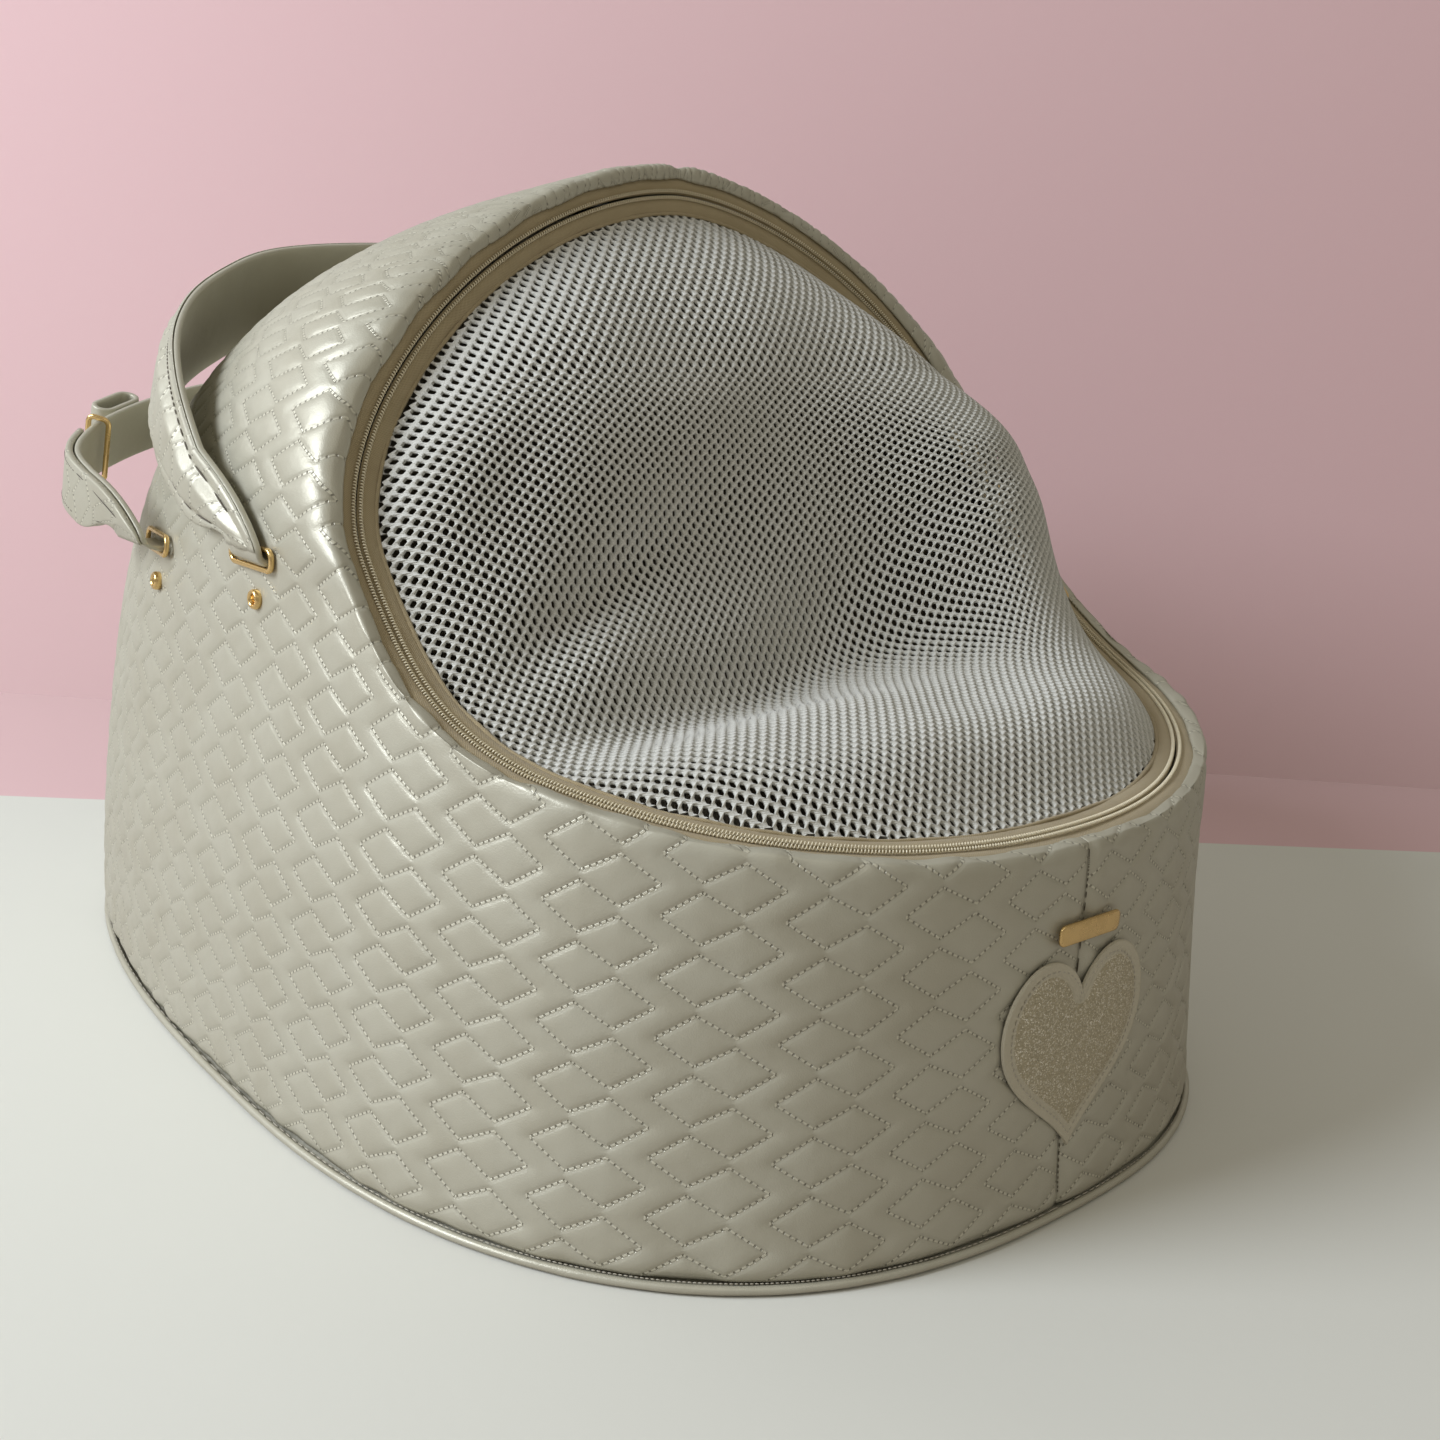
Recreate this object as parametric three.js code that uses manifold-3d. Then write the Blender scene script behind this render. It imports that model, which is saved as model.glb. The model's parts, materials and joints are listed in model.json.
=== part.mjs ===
// Soft-sided pet carrier cot: an egg-shaped quilted shell with a hooded, scooped
// opening, closed by an air-mesh cover on a zip, with a padded carry handle and
// an adjustable strap. Millimetres, +Z up, front of the cot facing -Y, base on z = 0.
import * as THREE from 'three';
import { mergeVertices } from 'three/addons/utils/BufferGeometryUtils.js';
import Module from 'manifold-3d';

const wasm = await Module();
wasm.setup();

// ---------------------------------------------------------------------------
// Driving dimensions
// ---------------------------------------------------------------------------

// Base outline: a superellipse whose widest place lies forward of the middle.
const BASE_LENGTH = 550;
const BASE_WIDTH = 376;
const WIDEST_Y = -47;
const BASE_POWER = 2.5;

// Opening: an oval on a scooped ramp that is level in X. The ramp's side profile
// is a straight front lip, an arc and a straight hood.
const LIP_Y = -259;
const LIP_Z = 130;
const LIP_SLOPE = 12;
const HOOD_SLOPE = 75;
const SCOOP_RADIUS = 149;
const LIP_RUN = 82;
const HOOD_RUN = 75;
const OPENING_WIDTH = 316;
const FRONT_ARCH = 150;
const TOP_ARCH = 133;
const FRONT_ARCH_POWER = 2.2;
const TOP_ARCH_POWER = 1.72;

// Wall section: how far each control point of the wall's curve stands out,
// at the front, the side and the rear.
const LOWER_BULGE = { front: -6, side: -10, rear: 7 };
const LOWER_RISE = { front: 0.3, side: 0.95, rear: 0.58 };
const SHOULDER_REACH = { front: 4, side: -3, rear: 132 };
const SHOULDER_LIFT = { front: -3, side: -3, rear: -20 };

// The padded shoulder rolls up and over beside the zip.
const ROLL_HEIGHT = 2.6;
const ROLL_REACH = 3.6;
const ROLL_SHARE = 0.05;
const EDGE_HEIGHT = 1.2;

// Wall layers, from the outside in.
const PANEL_THICKNESS = 4.5;
const FOAM_THICKNESS = 3;
const LINING_THICKNESS = 1.2;
const LAYER_GAP = 0.3;
const LIP_THINNING = 0.6;
const HOOP_WIRE = 2.6;
const HOOP_GAP = 0.6;

// Floor layers, from the ground up.
const BOTTOM_THICKNESS = 2;
const BOARD_THICKNESS = 3;
const CUSHION_THICKNESS = 20;
const CUSHION_INSET = 17;
const CUSHION_CROWN = 3;
const BOARD_MARGIN = 2.2;
const PIPING_WIRE = 3.4;

// Zip: two rows of coil, each sewn on its own tape.
const COIL_WIDTH = 2.2;
const COIL_GAP = 0.5;
const TAPE_THICKNESS = 0.8;
const BODY_TAPE_WIDTH = 4.3;
const COVER_TAPE_WIDTH = 7;

// Mesh cover.
const MESH_THICKNESS = 2.4;
const BINDING_WIDTH = 4;
const BINDING_OVERLAP = 0.9;
const HOOD_PUFF = 38;
const LIP_PUFF = 20;

// Zip sliders and their pulls, on the far side of the opening.
const SLIDER_LENGTH = 13;
const SLIDER_SPREAD = 18;
const SLIDER_HEIGHT = 3.8;
const LUG = { foot: 4, head: 3, height: 4, width: 2 };
const EYE = { foot: 2.2, head: 1.9, low: 0.5, high: 2.9 };
const SLIDER_WALL = 1.1;
const SLIDER_FOOT = 0.6;
const SLIDER_CLEARANCE = 0.7;
const PULL_LENGTH = 24;
const PULL_WIDTH = 8;
const PULL_THICKNESS = 1.6;
const PULL_BAR = 1.5;
const PULL_WINDOW = 6.5;
const PULL_RAIL = 1.5;
const PULL_TIP_SHARE = 0.75;

// Strap hardware on each side wall.
const HANDLE_ANCHOR = { y: -45, z: 197 };
const STRAP_ANCHOR = { y: 47, z: 188 };
const SLOT_WIDTH = 26;
const SLOT_HEIGHT = 4.2;
const SLOT_CORNER = 0.6;
const FRAME_BAR = 2.8;
const FRAME_DEPTH = 2;
const FRAME_STAND_OFF = 0.8;
const END_STAND_OFF = 2;
const END_WIDTH = 23;
const END_THICKNESS = 3;
const END_REACH = 5;
const RIVET_RADIUS = 3.8;
const RIVET_HEIGHT = 1.4;
const RIVET_DROP = 15;
const RIVET_STAND_OFF = 0.9;

// Padded carry handle and adjustable strap: arches that swing about their anchors.
const HANDLE_TILT = 28.5;
const HANDLE_RISE = 188;
const HANDLE_WIDTH = 44;
const HANDLE_LAYER = 3;
const PAD_MARGIN = 1;
const STRAP_TILT = 20;
const STRAP_RISE = 136;
const STRAP_WIDTH = 24;
const STRAP_THICKNESS = 2.6;
const TAB_STEPS = [1, 4];
const LOOP_STATION = 0.195;
const LOOP_LENGTH = 26;
const LOOP_DEPTH = 11;
const PIVOT_CLEARANCE = 1;

// Adjuster ring and the strap's folded tail, on each leg of the strap.
const RING_BAR = 2.6;
const RING_SLOT = 6;
const RING_CLEARANCE = 0.4;
const RING_STATION = 0.147;

// Front trim.
const HEART_WIDTH = 70;
const HEART_HEIGHT = 68;
const HEART_TIP_Z = 26;
const PATCH_THICKNESS = 1.2;
const PATCH_STAND_OFF = 0.55;
const PLATE_WIDTH = 30;
const PLATE_HEIGHT = 7;
const PLATE_THICKNESS = 1.4;
const PLATE_GAP_ABOVE_HEART = 5;

// Facets round the cot and up its wall.
const ROUND_STEPS = 44;
const COVER_STEPS = 5;
const WIRE_SIDES = 6;
const ARCH_STEPS = 32;
const SEAT_GAP = 0.3;
const CONTACT_GAP = 0.1;

// ---------------------------------------------------------------------------
// Small helpers
// ---------------------------------------------------------------------------

const v3 = (x, y, z) => new THREE.Vector3(x, y, z);
const UP = v3(0, 0, 1);
const range = (count) => Array.from({ length: count }, (_, i) => i);
const rad = THREE.MathUtils.degToRad;
const along = (point, direction, distance) => point.clone().addScaledVector(direction, distance);
const signedPower = (value, power) => Math.sign(value) * Math.abs(value) ** power;

// A value that varies round the cot: its front, side and rear amounts blended.
function roundBlend(amount, t) {
  const c = Math.cos(t);
  const front = Math.max(c, 0) ** 2;
  const rear = Math.max(-c, 0) ** 2;
  return amount.side + (amount.front - amount.side) * front + (amount.rear - amount.side) * rear;
}

// A closed solid from positions and triangles, with its faces turned outwards.
function solid(points, triangles) {
  const geometry = new THREE.BufferGeometry();
  const places = points.flatMap((p) => [p.x, p.y, p.z]);
  geometry.setAttribute('position', new THREE.Float32BufferAttribute(places, 3));
  geometry.setIndex(triangles.flat());
  const merged = mergeVertices(geometry, 1e-3);
  const index = merged.index.array;
  const faces = range(index.length / 3).map((i) => [index[3 * i], index[3 * i + 1], index[3 * i + 2]]);
  const kept = faces.filter(([a, b, c]) => a !== b && b !== c && c !== a);
  const at = (i) => new THREE.Vector3().fromBufferAttribute(merged.attributes.position, i);
  const volume = kept.reduce((sum, [a, b, c]) => sum + at(a).dot(at(b).cross(at(c))), 0);
  merged.setIndex((volume < 0 ? kept.map(([a, b, c]) => [a, c, b]) : kept).flat());
  return merged;
}

// A slab between two grids of points, face[i][j] and back[i][j]. When wrap is set
// the i direction closes on itself.
function slab(face, back, wrap) {
  const rows = face.length;
  const columns = face[0].length;
  const points = [...face.flat(), ...back.flat()];
  const id = (side, i, j) => side * rows * columns + (i % rows) * columns + j;
  const triangles = [];
  const quad = (a, b, c, d) => triangles.push([a, b, c], [a, c, d]);
  const spans = wrap ? rows : rows - 1;
  for (const i of range(spans)) {
    for (const j of range(columns - 1)) {
      quad(id(0, i, j), id(0, i + 1, j), id(0, i + 1, j + 1), id(0, i, j + 1));
      quad(id(1, i, j), id(1, i, j + 1), id(1, i + 1, j + 1), id(1, i + 1, j));
    }
    quad(id(1, i, 0), id(1, i + 1, 0), id(0, i + 1, 0), id(0, i, 0));
    const last = columns - 1;
    quad(id(0, i, last), id(0, i + 1, last), id(1, i + 1, last), id(1, i, last));
  }
  if (!wrap) {
    for (const j of range(columns - 1)) {
      quad(id(0, 0, j), id(0, 0, j + 1), id(1, 0, j + 1), id(1, 0, j));
      const end = rows - 1;
      quad(id(0, end, j + 1), id(0, end, j), id(1, end, j), id(1, end, j + 1));
    }
  }
  return solid(points, triangles);
}

// A bar swept through rings of points. When wrap is set the last ring joins the first.
function sweep(rings, wrap) {
  const sides = rings[0].length;
  const points = rings.flat();
  const id = (i, j) => (i % rings.length) * sides + (j % sides);
  const triangles = [];
  for (const i of range(wrap ? rings.length : rings.length - 1)) {
    for (const j of range(sides)) {
      triangles.push([id(i, j), id(i + 1, j), id(i + 1, j + 1)]);
      triangles.push([id(i, j), id(i + 1, j + 1), id(i, j + 1)]);
    }
  }
  if (!wrap) {
    for (const j of range(sides - 2)) {
      triangles.push([id(0, 0), id(0, j + 1), id(0, j + 2)]);
      triangles.push([id(rings.length - 1, 0), id(rings.length - 1, j + 2), id(rings.length - 1, j + 1)]);
    }
  }
  return solid(points, triangles);
}

const wireSection = (radius) => range(WIRE_SIDES).map((k) => {
  const angle = (2 * Math.PI * (k + 0.5)) / WIRE_SIDES;
  return [radius * Math.cos(angle), radius * Math.sin(angle)];
});

const ringAt = (centre, a, b, section) => section.map(([u, w]) => along(along(centre, a, u), b, w));

// A flat shape given a thickness.
function plate3d(shape, depth, curveSegments = 1) {
  return new THREE.ExtrudeGeometry(shape, { depth, bevelEnabled: false, curveSegments });
}

// A boolean solid, for pieces that are joined or cut.
function toManifold(geometry) {
  const bare = geometry.clone();
  bare.deleteAttribute('normal');
  bare.deleteAttribute('uv');
  const merged = mergeVertices(bare, 1e-4);
  return new wasm.Manifold(new wasm.Mesh({
    numProp: 3,
    vertProperties: new Float32Array(merged.attributes.position.array),
    triVerts: new Uint32Array(merged.index.array),
  }));
}

function fromManifold(manifold) {
  const mesh = manifold.getMesh();
  const geometry = new THREE.BufferGeometry();
  geometry.setAttribute('position', new THREE.Float32BufferAttribute(mesh.vertProperties, 3));
  geometry.setIndex(Array.from(mesh.triVerts));
  return geometry;
}

// ---------------------------------------------------------------------------
// The cot's form
// ---------------------------------------------------------------------------

const ARC_LENGTH = SCOOP_RADIUS * rad(HOOD_SLOPE - LIP_SLOPE);
const RAMP_LENGTH = LIP_RUN + ARC_LENGTH + HOOD_RUN;
const SIDE_RUN = RAMP_LENGTH - FRONT_ARCH - TOP_ARCH;
const SIDE_SHARE = 0.22;

// The scooped ramp in side view: a point, its slope and its upward normal.
function ramp(s) {
  const lip = Math.min(s, LIP_RUN);
  const arc = THREE.MathUtils.clamp(s - LIP_RUN, 0, ARC_LENGTH);
  const hood = Math.max(s - LIP_RUN - ARC_LENGTH, 0);
  const start = rad(LIP_SLOPE);
  const slope = start + arc / SCOOP_RADIUS;
  const end = rad(HOOD_SLOPE);
  const curveY = SCOOP_RADIUS * (Math.sin(slope) - Math.sin(start));
  const curveZ = SCOOP_RADIUS * (Math.cos(start) - Math.cos(slope));
  const y = LIP_Y + lip * Math.cos(start) + curveY + hood * Math.cos(end);
  const z = LIP_Z + lip * Math.sin(start) + curveZ + hood * Math.sin(end);
  return { y, z, slope, normal: v3(0, -Math.sin(slope), Math.cos(slope)) };
}

// The opening's oval laid flat: x across, s up the ramp. t = 0 is the front lip.
function oval(t) {
  const c = Math.cos(t);
  const across = Math.sign(Math.round(Math.sin(t) * 1e9));
  const share = (Math.abs(c) - SIDE_SHARE) / (1 - SIDE_SHARE);
  const half = OPENING_WIDTH / 2;
  if (share <= 0) {
    return { x: across * half, s: FRONT_ARCH + (SIDE_RUN * (SIDE_SHARE - c)) / (2 * SIDE_SHARE) };
  }
  const angle = Math.asin(Math.min(share, 1));
  const power = 2 / (c > 0 ? FRONT_ARCH_POWER : TOP_ARCH_POWER);
  const x = across * half * Math.max(Math.cos(angle), 0) ** power;
  const rise = Math.sin(angle) ** power;
  return { x, s: c > 0 ? FRONT_ARCH * (1 - rise) : RAMP_LENGTH - TOP_ARCH * (1 - rise) };
}

// The coil line of the zip: its point, the ramp's normal there, and the outward
// direction square to the line and the normal.
function rim(t) {
  const step = 1e-3;
  const here = oval(t);
  const ahead = oval(t + step);
  const behind = oval(t - step);
  const outS = -(ahead.x - behind.x);
  const outX = ahead.s - behind.s;
  const turn = Math.hypot(outX, outS) || 1;
  const { y, z, slope, normal } = ramp(here.s);
  const upRamp = v3(0, Math.cos(slope), Math.sin(slope));
  const out = v3(outX / turn, 0, 0).addScaledVector(upRamp, outS / turn);
  return { point: v3(here.x, y, z), out, normal };
}

// The base outline at height z, moved inwards by inset.
function base(t, z = 0, inset = 0) {
  const front = BASE_LENGTH / 2 + WIDEST_Y;
  const rear = BASE_LENGTH / 2 - WIDEST_Y;
  const power = 2 / BASE_POWER;
  const c = signedPower(Math.cos(t), power);
  const s = signedPower(Math.sin(t), power);
  const ends = (c > 0 ? front : rear) - inset;
  return v3((BASE_WIDTH / 2 - inset) * s, WIDEST_Y - ends * c, z);
}

// The level outward direction at the base outline.
function baseOutward(t) {
  const step = 0.02;
  const tangent = base(t + step).sub(base(t - step));
  return v3(tangent.y, -tangent.x, 0).normalize();
}

const PANEL_FOOT_Z = PIPING_WIRE + SEAT_GAP + 0.3;
const REVEAL = COIL_GAP / 2 + COIL_WIDTH + BODY_TAPE_WIDTH;

// The wall's outer face: v = 0 at the base seam, v = 1 at the zip tape. The wall's
// curve ends at the shoulder's crest, and the roll drops from there to the tape.
function wall(t, v) {
  const edge = rim(t);
  const outward = baseOutward(t);
  const reach = edge.out.clone().lerp(outward, 0.5 - 0.5 * Math.cos(t)).normalize();
  const end = along(along(edge.point, edge.out, REVEAL + SEAT_GAP), edge.normal, EDGE_HEIGHT);
  const crest = along(along(end, edge.out, ROLL_REACH), edge.normal, ROLL_HEIGHT - EDGE_HEIGHT);
  if (v > 1 - ROLL_SHARE) {
    const lean = along(crest, reach, -ROLL_REACH / 2);
    const rise = along(end, edge.normal, (ROLL_HEIGHT - EDGE_HEIGHT) * 0.6);
    return new THREE.CubicBezierCurve3(crest, lean, rise, end).getPointAt((v - 1 + ROLL_SHARE) / ROLL_SHARE);
  }
  const foot = base(t, PANEL_FOOT_Z);
  const lowerRise = roundBlend(LOWER_RISE, t) * edge.point.z;
  const lower = along(along(foot, outward, roundBlend(LOWER_BULGE, t)), UP, lowerRise);
  const shoulderLift = roundBlend(SHOULDER_LIFT, t);
  const shoulder = along(along(crest, reach, roundBlend(SHOULDER_REACH, t)), UP, shoulderLift);
  return new THREE.CubicBezierCurve3(foot, lower, shoulder, crest).getPointAt(v / (1 - ROLL_SHARE));
}

// The wall's outward normal, by small steps along both directions of the face.
function wallNormal(t, v) {
  const step = 0.01;
  const low = Math.max(v - step, 0);
  const high = Math.min(v + step, 1);
  const round = wall(t + step, v).sub(wall(t - step, v));
  const rise = wall(t, high).sub(wall(t, low));
  return round.cross(rise).normalize();
}

// The wall's rows: a common set of heights keeps the layers' facets in step.
const wallRows = [0, 0.06, 0.16, 0.28, 0.41, 0.54, 0.67, 0.79, 0.88, 1 - ROLL_SHARE, 1];
const FOAM_ROWS = [1, 7];
const HOOP_ROW = 8;

// The wall moved inwards by depth, from the outer face. Above the inner layers the
// panel thins and turns square to the ramp, so its lip stops short of the tape.
function inside(t, v, depth) {
  const turned = THREE.MathUtils.smoothstep(v, wallRows[HOOP_ROW], 1);
  const direction = wallNormal(t, v).lerp(rim(t).normal, turned).normalize();
  return along(wall(t, v), direction, -depth * (1 - LIP_THINNING * turned));
}


const fullTurn = range(ROUND_STEPS).map((i) => (2 * Math.PI * i) / ROUND_STEPS);

// A layer of the wall between two depths, over the turns given.
function wallLayer(turns, heights, near, far, wrap) {
  const grid = (depth) => turns.map((t) => heights.map((v) => inside(t, v, depth)));
  return slab(grid(near), grid(far), wrap);
}

// ---------------------------------------------------------------------------
// Materials
// ---------------------------------------------------------------------------

function finish(color, roughness, metalness) {
  return () => new THREE.MeshStandardMaterial({ color, roughness, metalness });
}
const pearlLeather = finish(0xbfb9aa, 0.42, 0.15);
const plainLeather = finish(0xb8b0a0, 0.48, 0.1);
const liningCloth = finish(0xcfc8bb, 0.9, 0);
const foamCore = finish(0xe8e6df, 0.95, 0);
const boardPlastic = finish(0x55524d, 0.6, 0);
const cushionCloth = finish(0xd6cfc2, 0.92, 0);
const zipTape = finish(0xa8977a, 0.85, 0);
const zipCoil = finish(0xb6a689, 0.5, 0);
const airMesh = finish(0xe6e4da, 0.8, 0);
const gold = finish(0xd9a74a, 0.22, 1);
const steelWire = finish(0x8d8f92, 0.4, 1);
const glitter = finish(0xb5a88a, 0.35, 0.4);

const cot = new THREE.Group();

function add(name, geometry, material, parent = cot) {
  const mesh = new THREE.Mesh(geometry, material());
  mesh.name = name;
  parent.add(mesh);
  return mesh;
}

// ---------------------------------------------------------------------------
// Floor
// ---------------------------------------------------------------------------

// A flat pad between two heights, its outline taken from the base.
function floorPad(low, high, inset, crown = 0) {
  const reach = [1, 0.97, 0.6, 0];
  const lift = [-crown, 0, 0, 0];
  const centre = v3(0, WIDEST_Y / 2, 0);
  const grid = (z, sign) => fullTurn.map((t) => reach.map((k, j) => {
    const edge = base(t, 0, inset);
    return v3(centre.x + (edge.x - centre.x) * k, centre.y + (edge.y - centre.y) * k, z + sign * lift[j]);
  }));
  return slab(grid(high, 1), grid(low, -1), true);
}

const BOARD_Z = BOTTOM_THICKNESS + SEAT_GAP;
const LINING_Z = BOARD_Z + BOARD_THICKNESS + SEAT_GAP;
const CUSHION_Z = LINING_Z + LINING_THICKNESS + SEAT_GAP;
add('bottom_panel', floorPad(0, BOTTOM_THICKNESS, PIPING_WIRE / 2 + SEAT_GAP), plainLeather);
add('base_board', floorPad(BOARD_Z, BOARD_Z + BOARD_THICKNESS, PANEL_THICKNESS + BOARD_MARGIN), boardPlastic);
const cushionTop = CUSHION_Z + CUSHION_THICKNESS;
add('floor_cushion', floorPad(CUSHION_Z, cushionTop, CUSHION_INSET, CUSHION_CROWN), cushionCloth);

const pipingSection = wireSection(PIPING_WIRE / 2);
const pipingZ = PIPING_WIRE / 2 + CONTACT_GAP;
const pipingRings = fullTurn.map((t) => ringAt(base(t, pipingZ), baseOutward(t), UP, pipingSection));
add('base_piping', sweep(pipingRings, true), plainLeather);

// ---------------------------------------------------------------------------
// Wall
// ---------------------------------------------------------------------------

// Each outer panel covers one side, with a hair of a gap at the two seams.
for (const [name, side, first] of [['panel_right', 1, 0], ['panel_left', -1, ROUND_STEPS / 2]]) {
  const turns = range(ROUND_STEPS / 2 + 1).map((i) => fullTurn[(first + i) % ROUND_STEPS]);
  const clear = (point) => point.setX(side * Math.max(side * point.x, SEAT_GAP / 2));
  const grid = (depth) => turns.map((t) => wallRows.map((v) => clear(inside(t, v, depth))));
  add(name, slab(grid(0), grid(PANEL_THICKNESS), false), pearlLeather);
}

const foamDepth = PANEL_THICKNESS + LAYER_GAP;
const liningDepth = foamDepth + FOAM_THICKNESS + LAYER_GAP;
const foamRows = wallRows.slice(FOAM_ROWS[0], FOAM_ROWS[1] + 1);
add('wall_foam', wallLayer(fullTurn, foamRows, foamDepth, foamDepth + FOAM_THICKNESS, true), foamCore);

// The lining is a tub: its wall runs from the zip down to a closed floor.
function liningGrid(depth, floorZ) {
  return fullTurn.map((t) => {
    const side = wallRows.slice(1, HOOP_ROW + 1).map((v) => inside(t, v, depth));
    const corner = side[0].clone().setZ(floorZ);
    const middle = v3(corner.x * 0.5, corner.y * 0.5, floorZ);
    return [v3(0, 0, floorZ), middle, corner, ...side];
  });
}
add('lining', slab(
  liningGrid(liningDepth, LINING_Z),
  liningGrid(liningDepth + LINING_THICKNESS, LINING_Z + LINING_THICKNESS),
  true,
), liningCloth);

const hoopDepth = PANEL_THICKNESS + HOOP_GAP + HOOP_WIRE / 2;
const hoopV = wallRows[HOOP_ROW];
const hoopSection = wireSection(HOOP_WIRE / 2);
const hoopRings = fullTurn.map((t) => {
  const inwards = inside(t, hoopV, 1).sub(wall(t, hoopV)).normalize();
  const round = wall(t + 0.01, hoopV).sub(wall(t - 0.01, hoopV)).normalize();
  return ringAt(inside(t, hoopV, hoopDepth), inwards, round.cross(inwards).normalize(), hoopSection);
});
add('rim_hoop', sweep(hoopRings, true), steelWire);

// ---------------------------------------------------------------------------
// Zip and mesh cover
// ---------------------------------------------------------------------------

// A flat band that follows the rim between two offsets across the zip.
function rimBand(near, far, low, high) {
  const rings = fullTurn.map((t) => {
    const { point, out, normal } = rim(t);
    const corner = (across, height) => along(along(point, out, across), normal, height);
    return [corner(near, low), corner(far, low), corner(far, high), corner(near, high)];
  });
  return sweep(rings, true);
}

function rimCoil(offset) {
  const rings = fullTurn.map((t) => {
    const { point, out, normal } = rim(t);
    const centre = along(along(point, out, offset), normal, COIL_WIDTH / 2 + CONTACT_GAP);
    return ringAt(centre, out, normal, wireSection(COIL_WIDTH / 2));
  });
  return sweep(rings, true);
}

const coilOffset = (COIL_GAP + COIL_WIDTH) / 2;
const tapeTop = -2 * CONTACT_GAP;
const tapeLow = tapeTop - TAPE_THICKNESS;
add('body_zip_coil', rimCoil(coilOffset), zipCoil);
add('body_zip_tape', rimBand(COIL_GAP / 2, REVEAL, tapeLow, tapeTop), zipTape);

const cover = new THREE.Group();
cot.add(cover);
const coverTapeEnd = COIL_GAP / 2 + COVER_TAPE_WIDTH;
add('cover_zip_coil', rimCoil(-coilOffset), zipCoil, cover);
add('cover_zip_tape', rimBand(-coverTapeEnd, -coilOffset, tapeLow, tapeTop), zipTape, cover);

const bindingStart = coverTapeEnd + SEAT_GAP;
const bindingEnd = bindingStart + BINDING_WIDTH;
const bindingLow = tapeLow - BINDING_OVERLAP;
const bindingHigh = tapeTop + BINDING_OVERLAP;
add('cover_binding', rimBand(-bindingEnd, -bindingStart, bindingLow, bindingHigh), airMesh, cover);

// The air mesh bellies out over the hood and again behind the front lip.
// Each swell is placed and spread as shares of the ramp's length.
const HOOD_SWELL = { rise: HOOD_PUFF, place: 0.66, spread: 0.25 };
const LIP_SWELL = { rise: LIP_PUFF, place: 0.12, spread: 0.1 };
const EDGE_STEEPNESS = 5;
function coverPuff(s, reach) {
  const swells = [HOOD_SWELL, LIP_SWELL].map(({ rise, place, spread }) => {
    const away = (s / RAMP_LENGTH - place) / spread;
    return rise * Math.exp(-(away ** 2));
  });
  return (1 - reach ** EDGE_STEEPNESS) * (swells[0] + swells[1]);
}

const COVER_CENTRE_S = RAMP_LENGTH * 0.52;
function coverGrid(height) {
  const reaches = range(COVER_STEPS + 1).map((j) => 1 - j / COVER_STEPS);
  return fullTurn.map((t) => {
    const edge = rim(t);
    const flat = oval(t);
    const inset = bindingEnd + SEAT_GAP;
    const edgeX = flat.x - inset * edge.out.x;
    const upRamp = ramp(flat.s).slope;
    const edgeS = flat.s - inset * (edge.out.y * Math.cos(upRamp) + edge.out.z * Math.sin(upRamp));
    return reaches.map((k) => {
      const s = COVER_CENTRE_S + (edgeS - COVER_CENTRE_S) * k;
      const { y, z, normal } = ramp(s);
      return along(v3(edgeX * k, y, z), normal, coverPuff(s, k) + height);
    });
  });
}
add('mesh_cover', slab(coverGrid(tapeLow + MESH_THICKNESS), coverGrid(tapeLow), true), airMesh, cover);

// ---------------------------------------------------------------------------
// Zip sliders, which run along the straight side of the opening
// ---------------------------------------------------------------------------

// A slider is a channel that bridges both coils, with a lug for the pull's bar.
function sliderShape() {
  const inner = COIL_GAP / 2 + COIL_WIDTH + SLIDER_CLEARANCE;
  const outer = inner + SLIDER_WALL;
  const roof = COIL_WIDTH + SLIDER_CLEARANCE;
  const shape = new THREE.Shape();
  shape.moveTo(-outer, SLIDER_FOOT);
  shape.lineTo(-inner, SLIDER_FOOT);
  shape.lineTo(-inner, roof);
  shape.lineTo(inner, roof);
  shape.lineTo(inner, SLIDER_FOOT);
  shape.lineTo(outer, SLIDER_FOOT);
  shape.lineTo(outer, SLIDER_HEIGHT);
  shape.lineTo(-outer, SLIDER_HEIGHT);
  shape.closePath();
  return shape;
}

function sliderBody() {
  const channel = plate3d(sliderShape(), SLIDER_LENGTH);
  channel.translate(0, 0, -SLIDER_LENGTH / 2);
  const bridge = new THREE.Shape();
  bridge.moveTo(-LUG.foot, SLIDER_HEIGHT - CONTACT_GAP);
  bridge.lineTo(LUG.foot, SLIDER_HEIGHT - CONTACT_GAP);
  bridge.lineTo(LUG.head, SLIDER_HEIGHT + LUG.height);
  bridge.lineTo(-LUG.head, SLIDER_HEIGHT + LUG.height);
  bridge.closePath();
  const eye = new THREE.Path();
  eye.moveTo(-EYE.foot, SLIDER_HEIGHT + EYE.low);
  eye.lineTo(EYE.foot, SLIDER_HEIGHT + EYE.low);
  eye.lineTo(EYE.head, SLIDER_HEIGHT + EYE.high);
  eye.lineTo(-EYE.head, SLIDER_HEIGHT + EYE.high);
  eye.closePath();
  bridge.holes.push(eye);
  const lug = plate3d(bridge, LUG.width);
  lug.translate(0, 0, -LUG.width / 2);
  lug.rotateY(Math.PI / 2);
  return fromManifold(toManifold(channel).add(toManifold(lug)));
}

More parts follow.
